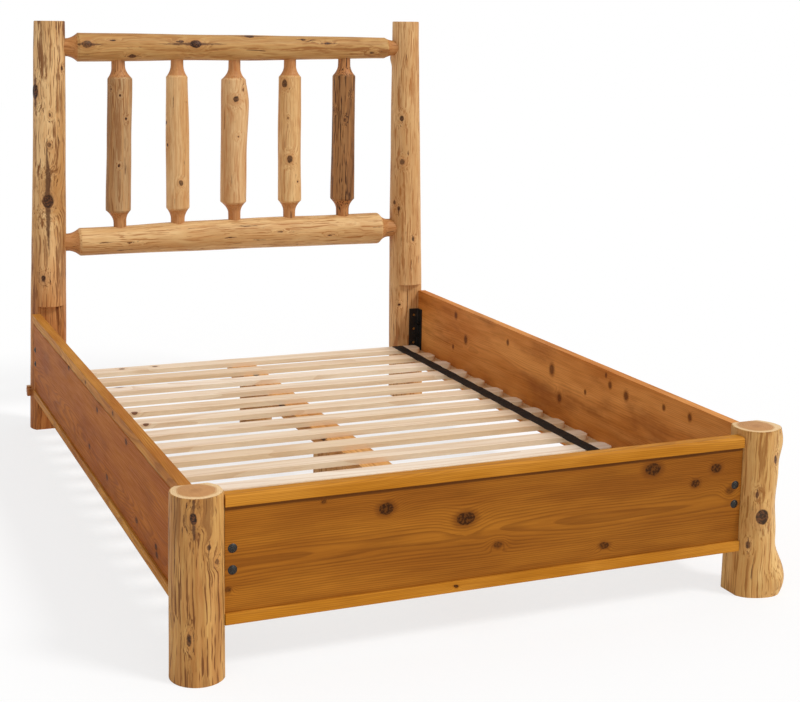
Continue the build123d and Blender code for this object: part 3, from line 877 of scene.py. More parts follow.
@dataclass
class LogBlank:
    """A round log drawn out from station to station, then given its natural unevenness.

    Attributes:
        name: the finished object's name.
        grain: which way it lies.
        base: the point that its stations are measured from.
        stations: its levels in order along the grain.
        lumps: its swellings and hollows.
        sides: sides of its section before it is rounded.
        uneven: the depth of its broad unevenness, in metres.
        facets: the depth of the drawknife's marks, in metres.
        seed: where its own unevenness starts.
    """

    name: str
    grain: Grain
    base: Place
    stations: list[Station]
    lumps: tuple[Lump, ...] = ()
    sides: int = 16
    uneven: float = 0.004
    facets: float = 0.0014
    seed: float = 0.0

    def middle(self, station: Station) -> Vector:
        """Finds the middle of a station's section.

        Args:
            station: the station.

        Returns:
            The middle as a point.
        """
        point = Vector(self.base) + self.grain.direction * station.at
        others = [index for index in range(3) if index != self.grain.value]
        point[others[0]] += station.off[0]
        point[others[1]] += station.off[1]
        return point

    def build(self) -> bpy.types.Object:
        """Draws the log out of one disc and gives it its skin.

        Returns:
            The log as a new object.
        """
        rounding = (2 + cos(2 * pi / self.sides)) / 3
        turn = {Grain.UP: (0.0, 0.0, 0.0), Grain.ACROSS: (0.0, pi / 2, 0.0), Grain.ALONG: (-pi / 2, 0.0, 0.0)}
        first = self.stations[0]
        bpy.ops.object.select_all(action="DESELECT")
        bpy.ops.mesh.primitive_circle_add(vertices=self.sides, radius=first.radius / rounding,
                                          fill_type="NGON",
                                          location=self.middle(first), rotation=turn[self.grain])
        piece = bpy.context.object
        piece.name = self.name
        bpy.ops.object.transform_apply(location=True, rotation=True, scale=True)
        with editing(piece):
            bpy.ops.mesh.select_all(action="SELECT")
            for before, after in zip(self.stations, self.stations[1:]):
                stride = self.middle(after) - self.middle(before)
                bpy.ops.mesh.extrude_region_move(TRANSFORM_OT_translate={"value": stride})
                growth = after.radius / before.radius
                size = [1.0 if index == self.grain.value else growth for index in range(3)]
                bpy.ops.transform.resize(value=size, center_override=self.middle(after))
            bpy.ops.mesh.select_all(action="SELECT")
            bpy.ops.mesh.normals_make_consistent(inside=False)
        rounded = piece.modifiers.new("rounded", "SUBSURF")
        rounded.levels = rounded.render_levels = 2
        apply(piece, rounded)
        self.swell(piece)
        self.roughen(piece, "broad", self.uneven, 0.11, 5.0)
        self.roughen(piece, "drawknife", self.facets, 0.022, 7.0)
        return piece

    def swell(self, piece: bpy.types.Object) -> None:
        """Pulls the skin out or in at each lump.

        Args:
            piece: the log.
        """
        for lump in self.lumps:
            place = Vector(lump.place)
            nearest = min(piece.data.vertices, key=lambda vertex: (vertex.co - place).length_squared)
            axis_point = self.axis_at(nearest.co)
            outwards = (nearest.co - axis_point).normalized()
            pick(piece, vertices=[nearest.index])
            with editing(piece):
                bpy.ops.transform.translate(value=outwards * lump.push, use_proportional_edit=True,
                                            proportional_edit_falloff="SMOOTH", proportional_size=lump.reach)

    def axis_at(self, point: Vector) -> Vector:
        """Finds the point on the log's axis level with a point on its skin.

        Args:
            point: the point on the skin.

        Returns:
            The point on the axis.
        """
        at = point[self.grain.value] - self.base[self.grain.value]
        nearest = min(self.stations, key=lambda station: abs(station.at - at))
        middle = self.middle(nearest)
        middle[self.grain.value] = point[self.grain.value]
        return middle

    def roughen(self, piece: bpy.types.Object, label: str, depth: float, size: float, stretch: float) -> None:
        """Moves the skin in and out by cloudy noise that is longer along the grain.

        Args:
            piece: the log.
            label: a name for the pattern.
            depth: from the deepest to the highest point.
            size: the pattern's size across the grain.
            stretch: how much longer it is along the grain.
        """
        pattern = bpy.data.textures.new(f"{self.name}_{label}", "CLOUDS")
        pattern.noise_scale = size
        pattern.noise_depth = 1
        ruler = bpy.data.objects.new(f"{self.name}_{label}_ruler", None)
        bpy.context.scene.collection.objects.link(ruler)
        ruler.location = (self.seed * 0.31, self.seed * 0.17, self.seed * 0.23)
        ruler.scale = [stretch if index == self.grain.value else 1.0 for index in range(3)]
        bpy.context.view_layer.update()
        skin = piece.modifiers.new(label, "DISPLACE")
        skin.texture = pattern
        skin.texture_coords = "OBJECT"
        skin.texture_coords_object = ruler
        skin.mid_level = 0.5
        skin.strength = depth
        apply(piece, skin)
        bpy.data.objects.remove(ruler)
        bpy.data.textures.remove(pattern)


def spaced(start: float, end: float, step: float) -> list[float]:
    """Evenly spaced places from start to end, about a step apart."""
    count = max(1, round(abs(end - start) / step))
    return [start + (end - start) * index / count for index in range(count + 1)]


def mark_ends(piece: bpy.types.Object, ends: bpy.types.Material,
              wanted: Callable[[bpy.types.MeshPolygon], bool]) -> None:
    """Gives some faces of a log the sawn end's finish.

    Args:
        piece: the log.
        ends: the sawn end's material.
        wanted: says whether a face is sawn.
    """
    piece.data.materials.append(ends)
    index = len(piece.data.materials) - 1
    for polygon in piece.data.polygons:
        if wanted(polygon):
            polygon.material_index = index


# ---------------------------------------------------------------- posts
@dataclass
class Post:
    """One upright log with a sawn top, standing on the floor.

    Attributes:
        node: the solid that it stands for.
        foot, top: the axis at the floor and at the top, as x and y.
        height: its height.
        radii: its radius at the floor and at the top.
        finish: its skin.
        lumps: its swellings and hollows.
        end_slope: how the sawn top tilts, as rise per metre along x and y.
        ease: the eased edge round the top.
        seed: where its own unevenness starts.
        uneven: the depth of its broad unevenness, in metres.
        heart_share: the heart's share of the sawn top's radius.
    """

    node: str
    foot: tuple[float, float]
    top: tuple[float, float]
    height: float
    radii: tuple[float, float]
    finish: PeeledLog
    lumps: tuple[Lump, ...] = ()
    end_slope: tuple[float, float] = (0.0, 0.0)
    ease: float = 0.003
    seed: float = 0.0
    uneven: float = 0.007
    heart_share: float = 0.80

    def radius_at(self, height: float) -> float:
        """The post's radius at a height."""
        share = height / self.height
        return self.radii[0] + (self.radii[1] - self.radii[0]) * share

    def build(self) -> bpy.types.Object:
        """Builds the post up to its sawn top, and dresses it.

        Returns:
            The post.
        """
        lean = [(self.top[index] - self.foot[index]) / self.height for index in range(2)]
        stations = [
            Station(at, self.radius_at(at) * (1 + 0.008 * sin(at * 11 + self.seed)),
                    (lean[0] * at, lean[1] * at))
            for at in spaced(-0.04, self.height + 0.04, 0.034)
        ]
        blank = LogBlank(self.node + "_log", Grain.UP, (*self.foot, 0.0), stations, self.lumps, 20,
                         self.uneven,
                         seed=self.seed)
        piece = blank.build()
        cut(piece, Vector((0, 0, 0)), Vector((0, 0, -1)))
        tilt = Vector((-self.end_slope[0], -self.end_slope[1], 1)).normalized()
        cut(piece, Vector((*self.top, self.height)), tilt)
        self.ease_rim(piece)
        self.shape(piece)
        piece.data.materials.clear()
        piece.data.materials.append(self.finish.material())
        ends = SawnEnd(f"{self.node}_end", Grain.UP, (*self.top, self.height),
                       self.radii[1] * self.heart_share)
        mark_ends(piece, ends.material(), lambda face: abs(face.normal.z) > 0.93)
        smooth(piece)
        return piece

    def ease_rim(self, piece: bpy.types.Object) -> None:
        """Rounds the edge of the sawn top over.

        Args:
            piece: the post.
        """
        rim = {key for face in piece.data.polygons if face.normal.z > 0.93 and len(face.vertices) > 12
               for key in face.edge_keys}
        pick(piece, edges=lambda edge: tuple(sorted(edge.vertices)) in rim)
        with editing(piece):
            bpy.ops.mesh.bevel(offset=self.ease, segments=2, affect="EDGES")

    def shape(self, piece: bpy.types.Object) -> None:
        """Cuts the post's flats; a plain post has none."""


@dataclass
class FootPost(Post):
    """A foot post: two flats, for the foot rail's end and for the side rail's end.

    Attributes:
        inner_flat: the inner flat's distance from the middle of the bed.
        back_flat: where the back flat lies along the bed.
    """

    inner_flat: float = 0.653
    back_flat: float = -0.957

    def shape(self, piece: bpy.types.Object) -> None:
        """Saws the inner flat and the back flat from top to bottom.

        Args:
            piece: the post.
        """
        side = 1.0 if self.foot[0] > 0 else -1.0
        cut(piece, Vector((side * self.inner_flat, 0, 0)), Vector((-side, 0, 0)))
        cut(piece, Vector((0, self.back_flat, 0)), Vector((0, 1, 0)))


@dataclass
class HeadPost(Post):
    """A head post: a notch at its foot that takes the side rail's end.

    Attributes:
        notch_top: how high the notch reaches.
        flat: the notch's flat from the middle of the bed.
        stub: the height and the radius of a cut branch in the notch's side, where there is one.
    """

    notch_top: float = NOTCH_TOP
    flat: float = HEAD_FLAT
    stub: tuple[float, float] | None = None

    def shape(self, piece: bpy.types.Object) -> None:
        """Saws the notch out, and draws the cut branch out of the skin where there is one.

        Args:
            piece: the post.
        """
        bpy.ops.object.select_all(action="DESELECT")
        bpy.ops.mesh.primitive_cube_add(size=1.0,
                                        location=(self.foot[0], self.flat - 0.1, self.notch_top / 2 - 0.05))
        waste = bpy.context.object
        waste.scale = (0.3, 0.2, self.notch_top + 0.1)
        bpy.ops.object.transform_apply(location=True, rotation=True, scale=True)
        notch = piece.modifiers.new("notch", "BOOLEAN")
        notch.operation = "DIFFERENCE"
        notch.object = waste
        notch.solver = "EXACT"
        apply(piece, notch)
        bpy.data.objects.remove(waste)
        if self.stub:
            height, radius = self.stub
            pick(piece, faces=lambda face: face.center.x < self.foot[0] - 0.03
                 and hypot(face.center.y - self.foot[1], face.center.z - height) < radius)
            with editing(piece):
                bpy.ops.mesh.extrude_region_move(TRANSFORM_OT_translate={"value": (-0.012, 0, 0)})
                bpy.ops.transform.resize(value=(0.0, 1.0, 1.0),
                                         center_override=(self.foot[0] - 0.0715, self.foot[1], height))


# ---------------------------------------------------------------- headboard
def hollow_taper(start: float, length: float, full: float, neck: float, inward: int) -> list[Station]:
    """The hollow curve from a log's full round down to its tenon.

    Args:
        start: the shoulder's place along the log.
        length: how long the taper is.
        full, neck: the radii at the shoulder and at the tenon.
        inward: 1 where the tenon lies further along the log, and -1 where it comes before.

    Returns:
        The stations from the shoulder to the tenon.
    """
    shares = (0.0, 0.05, 0.16, 0.32, 0.55, 0.8, 1.0)
    return [Station(start + inward * share * length, neck + (full - neck) * (1 - share) ** 2.1)
            for share in shares]


@dataclass
class TurnedLog:
    """A log with a round tenon on each end.

    Attributes:
        node: the solid that it stands for.
        grain: which way it lies.
        base: where its stations are measured from.
        tips: the tenons' ends along the grain.
        shoulders: where its full round begins and ends.
        body: (share along the body, radius, offset) of its full round.
        tenons: the tenons' radii.
        taper: the length of each taper.
        finish: its skin.
        lumps: its swellings and hollows.
        step: the distance between two stations of its full round.
        uneven: the depth of its broad unevenness, in metres.
        seed: where its own unevenness starts.
    """

    node: str
    grain: Grain
    base: Place
    tips: tuple[float, float]
    shoulders: tuple[float, float]
    body: tuple[tuple[float, float, tuple[float, float]], ...]
    tenons: tuple[float, float]
    taper: float
    finish: PeeledLog
    lumps: tuple[Lump, ...] = ()
    step: float = 0.03
    uneven: float = 0.006
    seed: float = 0.0

    def body_at(self, share: float) -> tuple[float, tuple[float, float]]:
        """Finds the full round's radius and offset.

        Args:
            share: how far along the full round, from 0 to 1.

        Returns:
            The radius and the offset there.
        """
        for before, after in zip(self.body, self.body[1:]):
            if share <= after[0]:
                part = (share - before[0]) / (after[0] - before[0])
                part = part * part * (3 - 2 * part)
                off = tuple(before[2][index] + (after[2][index] - before[2][index]) * part
                            for index in range(2))
                return before[1] + (after[1] - before[1]) * part, off
        return self.body[-1][1], self.body[-1][2]

    def faded(self, station: Station, off: tuple[float, float]) -> Station:
        """Draws a taper's station back to the tenon's line.

        Args:
            station: a station of one of the tapers.
            off: how far the full round's middle lies off at that taper's shoulder.

        Returns:
            The station with its share of that offset.
        """
        low, high = self.shoulders
        shoulder = low if station.at < (low + high) / 2 else high
        share = max(0.0, 1 - abs(station.at - shoulder) / self.taper)
        return Station(station.at, station.radius, (off[0] * share, off[1] * share))

    def build(self) -> bpy.types.Object:
        """Builds the log and dresses it.

        Returns:
            The log.
        """
        low, high = self.shoulders
        start, end = self.body_at(0.0), self.body_at(1.0)
        first = list(reversed(hollow_taper(low, self.taper, start[0], self.tenons[0], -1)))
        last = hollow_taper(high, self.taper, end[0], self.tenons[1], 1)
        stations = [Station(self.tips[0], self.tenons[0])]
        stations += [self.faded(station, start[1]) for station in first]
        edges = [low + 0.003, *spaced(low + 0.018, high - 0.018, self.step), high - 0.003]
        for at in edges:
            radius, off = self.body_at((at - low) / (high - low))
            stations.append(Station(at, radius * (1 + 0.012 * sin(at * 17 + self.seed)), off))
        stations += [self.faded(station, end[1]) for station in last]
        stations.append(Station(self.tips[1], self.tenons[1]))
        stations = [after for before, after in zip([Station(-9, 0)] + stations, stations) if after.at
                    - before.at > 0.0008]
        blank = LogBlank(self.node + "_log", self.grain, self.base, stations, self.lumps, 16, self.uneven,
                         0.0012, self.seed)
        piece = blank.build()
        piece.data.materials.clear()
        piece.data.materials.append(self.finish.material())
        smooth(piece, 45)
        return piece


# ---------------------------------------------------------------- slat roll
@dataclass
class Webbing:
    """One strap of webbing over all the slats: ribbed, thin, and slack between them.

    Attributes:
        side: -1 for the left strap and 1 for the right one.
        finish: its look.
        across: the strap's middle from the middle of the bed.
        width, thickness: the webbing's section.
        sag: how far it hangs between two slats.
        seat: the height of its underside on the slats.
        foot, head: where its two ends lie along the bed.
        first_slat, pitch, slat_width: where the slats under it lie, and their width.
    """

    side: int
    finish: WovenTape
    across: float = 0.612
    width: float = 0.040
    thickness: float = 0.0016
    seat: float = SLAT_TOP - 0.0003
    sag: float = 0.0015
    foot: float = -0.935
    head: float = 0.945
    first_slat: float = FIRST_SLAT
    pitch: float = SLAT_PITCH
    slat_width: float = 0.058

    def build(self) -> bpy.types.Object:
        """Builds the strap and dresses it.

        Returns:
            The strap.
        """
        name = "webbing_left_strap" if self.side < 0 else "webbing_right_strap"
        bpy.ops.object.select_all(action="DESELECT")
        bpy.ops.mesh.primitive_grid_add(x_subdivisions=8, y_subdivisions=720, size=1.0,
                                        location=(self.side * self.across, (self.foot + self.head) / 2,
                                                  self.seat))
        strap = bpy.context.object
        strap.name = name
        strap.scale = (self.width, self.head - self.foot, 1.0)
        bpy.ops.object.transform_apply(location=True, rotation=True, scale=True)
        for vertex in strap.data.vertices:
            past = (vertex.co.y - self.first_slat) % self.pitch
            gap = (past - self.slat_width) / (self.pitch - self.slat_width)
            if gap > 0:
                vertex.co.z -= self.sag * sin(pi * gap) ** 2
            vertex.co.x += 0.0004 * sin(vertex.co.y * 41 + self.side)
        body = strap.modifiers.new("body", "SOLIDIFY")
        body.thickness = self.thickness
        body.offset = 1.0
        apply(strap, body)
        strap.data.materials.append(self.finish.material())
        smooth(strap, 50)
        return strap


# ---------------------------------------------------------------- studio
@dataclass
class Studio:
    """A plain pale floor, soft light and the camera.

    Attributes:
        camera_place: where the camera stands.
        yaw, pitch, roll: how it is turned, in radians.
        lens: its focal length in millimetres.
        shift: how far its frame is moved sideways and up, in frame widths.
        world_level, key_level: how bright the surroundings and the main light are.
    """

    camera_place: Place = (-1.4816, -3.7556, 1.3753)
    yaw: float = 0.3626
    pitch: float = 0.1494
    roll: float = 0.0098
    lens: float = 63.717
    shift: tuple[float, float] = (0.10, -0.14125)
    world_level: float = 0.66
    key_level: float = 1.7

    def build(self) -> None:
        """Sets up the floor, the world, the lamp and the camera."""
        bpy.context.scene.view_settings.view_transform = "Standard"
        self.floor()
        self.world()
        self.lamp()
        self.camera()

    def floor(self) -> None:
        """Lays the pale floor, which keeps the bed's shadow."""
        bpy.ops.object.select_all(action="DESELECT")
        bpy.ops.mesh.primitive_plane_add(size=40.0, location=(0, 0, 0))
        floor = bpy.context.object
        floor.name = "studio_floor"
        material = bpy.data.materials.new("studio_floor")
        material.use_nodes = True
        material.node_tree.nodes.clear()
        recipe = Recipe(material.node_tree)
        matt = recipe.step("ShaderNodeBsdfDiffuse")
        matt.inputs["Color"].default_value = (0.95, 0.95, 0.95, 1.0)
        bright = recipe.step("ShaderNodeEmission")
        bright.inputs["Color"].default_value = (1.0, 1.0, 1.0, 1.0)
        mixed = recipe.step("ShaderNodeMixShader")
        seen = recipe.step("ShaderNodeLightPath").outputs["Is Camera Ray"]
        recipe.feed(mixed.inputs[0], recipe.maths("MULTIPLY", seen, 0.72))
        recipe.feed(mixed.inputs[1], matt.outputs[0])
        recipe.feed(mixed.inputs[2], bright.outputs[0])
        output = recipe.step("ShaderNodeOutputMaterial")
        recipe.feed(output.inputs["Surface"], mixed.outputs[0])
        floor.data.materials.append(material)

    def world(self) -> None:
        """Sets the even light from all round, on a white background."""
        world = bpy.data.worlds.new("studio")
        bpy.context.scene.world = world
        world.use_nodes = True
        recipe = Recipe(world.node_tree)
        background = world.node_tree.nodes["Background"]
        path = recipe.step("ShaderNodeLightPath")
        seen = recipe.maths("MAXIMUM", path.outputs["Is Camera Ray"], path.outputs["Is Transmission Ray"])
        level = recipe.maths("ADD", recipe.maths("MULTIPLY", seen, 1.0 - self.world_level), self.world_level)
        background.inputs["Color"].default_value = (1.0, 1.0, 1.0, 1.0)
        recipe.feed(background.inputs["Strength"], level)

    def lamp(self) -> None:
        """Hangs the broad key light in front, to the right and above."""
        key = bpy.data.lights.new("key", "SUN")
        key.energy = self.key_level
        key.angle = radians(14)
        lamp = bpy.data.objects.new("key", key)
        bpy.context.scene.collection.objects.link(lamp)
        lamp.rotation_euler = Vector((-0.62, 0.62, -0.95)).to_track_quat("-Z", "Y").to_euler()

    def camera(self) -> None:
        """Places the camera."""
        ahead = Vector((sin(self.yaw) * cos(self.pitch), cos(self.yaw) * cos(self.pitch), -sin(self.pitch)))
        right = Vector((cos(self.yaw), -sin(self.yaw), 0.0))
        up = right.cross(ahead)
        turned_right = right * cos(self.roll) + up * sin(self.roll)
        turned_up = up * cos(self.roll) - right * sin(self.roll)
        view = bpy.data.cameras.new("camera")
        view.lens = self.lens
        view.sensor_width = 36.0
        view.shift_x, view.shift_y = self.shift
        camera = bpy.data.objects.new("camera", view)
        bpy.context.scene.collection.objects.link(camera)
        rotation = Matrix((turned_right, turned_up, -ahead)).transposed()
        camera.matrix_world = Matrix.Translation(self.camera_place) @ rotation.to_4x4()
        bpy.context.scene.camera = camera


# ---------------------------------------------------------------- assemblies
def settle(piece: bpy.types.Object, node: str, body: str) -> None:
    """Puts a finished piece in its solid's place.

    Args:
        piece: the piece.
        node: the solid that it stands for.
        body: the body that it rides on.
    """
    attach(piece, body)
    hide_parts(node)
    log.info("%s: %d faces", piece.name, len(piece.data.polygons))


def dress(nodes: list[str], material: bpy.types.Material) -> None:
    """Gives the solids that stay in view their finish.

    Args:
        nodes: the solids by name.
        material: the finish.
    """
    for node in nodes:
        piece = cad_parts[node]
        if not piece.material_slots:
            piece.data.materials.append(material)
        for slot in piece.material_slots:
            slot.material = material
    log.info("%s: %d solids", material.name, len(nodes))


def raised(knots: tuple[Knot, ...], reach: float) -> tuple[Lump, ...]:
    """The swellings of a log's raised and sunk knots, each with the given reach."""
    return tuple(Lump(knot.place, knot.lump, reach) for knot in knots if knot.lump)


@dataclass
class Headboard:
    """The two head posts, the two log rails between them and the five spindles.

    Attributes:
        y: all their axes along the bed.
        foot_across, top_across: the posts' axes from the middle of the bed, at the floor and at the top.
        left_height, right_height: the posts' heights.
        top_height, bottom_height: the two log rails' axes above the floor.
        places: the spindles' axes across the bed.
        tenons: the radii of the spindles' tenons.
        top_gaps, bottom_gaps: from each log rail's axis to the spindles' full round.
    """

    y: float = HEADBOARD_Y
    foot_across: float = 0.672
    top_across: float = 0.644
    left_height: float = 1.380
    right_height: float = 1.390
    top_height: float = 1.294
    bottom_height: float = 0.637
    places: tuple[float, ...] = (-0.415, -0.2095, -0.004, 0.2015, 0.407)
    tenons: tuple[float, ...] = (0.022, 0.023, 0.021, 0.022, 0.022)
    top_gaps: tuple[float, ...] = (0.105, 0.100, 0.110, 0.102, 0.099)
    bottom_gaps: tuple[float, ...] = (0.103, 0.104, 0.118, 0.116, 0.116)

    def build(self) -> None:
        """Builds every log of the headboard and puts it in its place."""
        for item in (*self.posts(), *self.rails(), *self.spindles()):
            settle(item.build(), item.node, "frame")

    def posts(self) -> list[Post]:
        """Lays out the two head posts.

        Returns:
            The left post and the right post.
        """
        left_knots = (
            Knot((-0.6990, 0.978, 1.148), 0.020, 1.4, 0.10, lump=0.005),
            Knot((-0.6620, 0.941, 0.974), 0.007, 1.3, 0.0, 0.7, 0.9, 0.003),
            Knot((-0.6700, 0.943, 0.784), 0.021, 1.2, 0.30, 0.9, 0.6, -0.004),
            Knot((-0.6700, 0.943, 0.788), 0.046, 1.0, 0.055, 0.0, 0.0),
            Knot((-0.6660, 0.943, 0.860), 0.018, 1.0, 0.085, 0.0, 0.0),
            Knot((-0.6860, 0.948, 0.526), 0.012, 1.4, 0.06, 1.0, 0.8, 0.003),
            Knot((-0.6140, 0.957, 1.226), 0.006, 1.6, 0.05),
            Knot((-0.6580, 0.941, 1.072), 0.005, 1.8, 0.05, 0.6),
        )
        right_knots = (
            Knot((0.6230, 0.953, 0.884), 0.011, 1.2, 0.0, 0.75, 1.0, 0.004),
            Knot((0.6010, 1.017, 1.257), 0.010, 1.5, 0.04, 0.7, 0.8, 0.007),
            Knot((0.6200, 0.955, 1.043), 0.010, 1.3, 0.04, 0.9, 0.5, 0.003),
            Knot((0.6650, 0.942, 0.599), 0.007, 1.4, 0.05, 0.8),
            Knot((0.6060, 0.974, 0.733), 0.008, 1.3, 0.03, 0.7, 0.8, 0.003),
            Knot((0.6150, 0.960, 0.713), 0.006, 1.6, 0.05, 0.8),
            Knot((0.6230, 0.956, 0.353), 0.006, 1.0, 0.0, 1.0, 0.3),
        )
        left = HeadPost(
            "head_post_left", (-self.foot_across, self.y), (-self.top_across, self.y), self.left_height,
            (0.061, 0.052),
            PeeledLog("peeled_head_left", Grain.UP, shade(236, 198, 142), shade(192, 144, 86),
                      shade(120, 70, 28),
                      streaks=1.0, specks=1.0, hairs=0.75, seed=1.3, knots=left_knots, foot_shade=0.85),
            lumps=raised(left_knots, 0.035), seed=0.4,
            stub=(0.130, 0.017))
        right = HeadPost(
            "head_post_right", (self.foot_across, self.y), (self.top_across, self.y), self.right_height,
            (0.064, 0.049),
            PeeledLog("peeled_head_right", Grain.UP, shade(232, 192, 136), shade(206, 160, 104),
                      shade(168, 106, 50),
                      streaks=0.8, specks=0.9, hairs=0.8, seed=5.1, knots=right_knots, foot_shade=0.15),
            lumps=raised(right_knots, 0.035), seed=2.2)
        return [left, right]

    def rails(self) -> list[TurnedLog]:
        """Lays out the headboard's two log rails.

        Returns:
            The top rail and the bottom rail.
        """
        top_knots = (
            Knot((-0.5300, 0.9520, 1.3040), 0.014, 1.5, 0.08, 0.8, 1.0, 0.004),
            Knot((-0.1550, 0.9540, 1.3070), 0.015, 1.5, 0.16, 1.0, 1.0, 0.005),
            Knot((-0.3750, 0.9620, 1.2660), 0.009, 1.6, 0.05, 0.9),
            Knot((0.0440, 0.9800, 1.3330), 0.013, 1.6, 0.09, 0.9),
            Knot((-0.4400, 0.9540, 1.3180), 0.004, 4.0, 0.10, 0.9),
            Knot((0.3300, 0.9600, 1.3100), 0.005, 3.0, 0.08, 0.9),
            Knot((0.5000, 0.9640, 1.2800), 0.006, 2.0, 0.05, 0.8),
            Knot((-0.2090, 0.9610, 1.3130), 0.006, 3.0, 0.08, 0.9),
            Knot((0.2390, 0.9680, 1.3220), 0.006, 1.8, 0.05, 0.8),
            Knot((0.4370, 0.9970, 1.3330), 0.009, 2.2, 0.09, 1.0),
        )
        bottom_knots = (
            Knot((-0.3750, 0.9460, 0.6240), 0.004, 4.0, 0.06, 0.9),
            Knot((0.4200, 0.9510, 0.6600), 0.004, 4.0, 0.08, 0.8),
            Knot((0.3400, 0.9460, 0.6280), 0.004, 4.0, 0.08, 0.8),
            Knot((0.1500, 0.9460, 0.6470), 0.004, 4.0, 0.08, 0.7),
        )
        top = TurnedLog(
            "headboard_top_rail", Grain.ACROSS, (0.0, self.y, self.top_height), (-0.6458, 0.6458),
            (-0.552, 0.560),
            ((0.0, 0.048, (0.0, 0.0)), (0.5, 0.044, (0.0, 0.0)), (1.0, 0.038, (0.0, 0.0))), (0.029, 0.0265),
            0.042,
            PeeledLog("peeled_top_rail", Grain.ACROSS, shade(208, 168, 108), shade(180, 134, 76),
                      shade(146, 90, 38),
                      streaks=0.85, specks=0.9, seed=14.2, knots=top_knots, necks=(-0.556, 0.564)),
            lumps=raised(top_knots, 0.03), seed=1.1)
        bottom = TurnedLog(
            "headboard_bottom_rail", Grain.ACROSS, (0.0, self.y, self.bottom_height), (-0.6591, 0.6591),
            (-0.555, 0.545),
            ((0.0, 0.047, (0.0, 0.0)), (0.5, 0.054, (0.0, 0.003)), (1.0, 0.0555, (0.0, 0.0))),
            (0.0295, 0.032), 0.042,
            PeeledLog("peeled_bottom_rail", Grain.ACROSS, shade(228, 190, 134), shade(200, 154, 98),
                      shade(166, 108, 54),
                      streaks=0.5, specks=1.0, hairs=0.85, seed=17.7, knots=bottom_knots,
                      necks=(-0.559, 0.549)), seed=5.2)
        return [top, bottom]

    def spindles(self) -> list[TurnedLog]:
        """Lays out the five spindles.

        Returns:
            The spindles from left to right.
        """
        knots = (
            (Knot((-0.448, 0.972, 1.155), 0.005, 1.4), Knot((-0.419, 0.955, 1.134), 0.004, 1.4),
             Knot((-0.399, 0.958, 1.054), 0.005, 1.3), Knot((-0.425, 0.956, 0.897), 0.005, 1.3)),
            (Knot((-0.185, 0.961, 1.116), 0.004, 1.3), Knot((-0.249, 0.994, 1.038), 0.006, 1.2),
             Knot((-0.247, 0.984, 0.961), 0.005, 1.2),
             Knot((-0.209, 0.955, 0.831), 0.009, 1.2, 0.0, 0.8, 0.8, 0.003)),
            (Knot((-0.011, 0.956, 1.116), 0.013, 1.2, 0.05, 0.9, 0.9, 0.003),
             Knot((-0.004, 0.955, 0.988), 0.006, 1.2, 0.0, 0.8),
             Knot((0.015, 0.958, 1.149), 0.004, 2.0, 0.0, 0.7)),
            (Knot((0.174, 0.971, 1.170), 0.012, 1.3, 0.0, 0.85, 1.0, 0.003),
             Knot((0.190, 0.958, 0.904), 0.012, 1.2, 0.0, 0.85, 1.0, 0.004),
             Knot((0.221, 0.957, 0.822), 0.005, 1.3), Knot((0.183, 0.962, 1.049), 0.004, 1.5, 0.0, 0.6)),
            (Knot((0.423, 0.956, 1.129), 0.006, 1.2, 0.0, 0.7),
             Knot((0.372, 0.992, 1.074), 0.006, 1.4, 0.0, 0.7),
             Knot((0.398, 0.958, 1.039), 0.005, 1.6, 0.0, 0.6)),
        )
        colours = (
            (shade(200, 166, 120), shade(172, 134, 90), shade(142, 92, 48)),
            (shade(238, 202, 148), shade(214, 170, 114), shade(184, 120, 62)),
            (shade(226, 188, 136), shade(204, 160, 108), shade(184, 118, 62)),
            (shade(234, 196, 138), shade(210, 164, 104), shade(180, 114, 56)),
            (shade(172, 126, 78), shade(134, 90, 50), shade(76, 44, 22)),
        )
        bodies = (
            ((0.0, 0.043, (-0.005, 0.0)), (0.5, 0.042, (0.0, 0.0)), (1.0, 0.041, (0.005, 0.0))),
            ((0.0, 0.040, (0.001, 0.0)), (0.5, 0.040, (0.0, 0.0)), (1.0, 0.039, (-0.001, 0.0))),
            ((0.0, 0.046, (-0.004, 0.0)), (0.35, 0.046, (-0.002, 0.0)), (0.82, 0.050, (0.003, 0.0)),
             (1.0, 0.043, (-0.003, 0.0))),
            ((0.0, 0.042, (0.001, 0.0)), (0.5, 0.041, (0.0, 0.0)), (1.0, 0.040, (0.0, 0.0))),
            ((0.0, 0.043, (-0.001, 0.0)), (0.5, 0.040, (0.0, 0.0)), (1.0, 0.040, (0.0, 0.0))),
        )
        made = []
        for index, place in enumerate(self.places):
            low, high = self.bottom_height + self.bottom_gaps[index], self.top_height - self.top_gaps[index]
            pale, tan, streak = colours[index]
            finish = PeeledLog(f"peeled_spindle_{index + 1}", Grain.UP, pale, tan, streak,
                               streaks=(0.6, 0.4, 0.5, 0.5, 0.9)[index],
                               hairs=(0.85, 0.45, 0.55, 0.55, 1.0)[index], specks=0.7,
                               seed=21.0 + 3.7 * index, knots=knots[index], necks=(low - 0.003, high + 0.003),
                               neck=shade(190, 130, 78))
            made.append(TurnedLog(
                f"spindle_{index + 1}", Grain.UP, (place, self.y, 0.0), (0.642, 1.289), (low, high),
                bodies[index],
                (self.tenons[index], self.tenons[index]), 0.040, finish,
                lumps=raised(knots[index], 0.025), seed=2.9 * index))
        return made


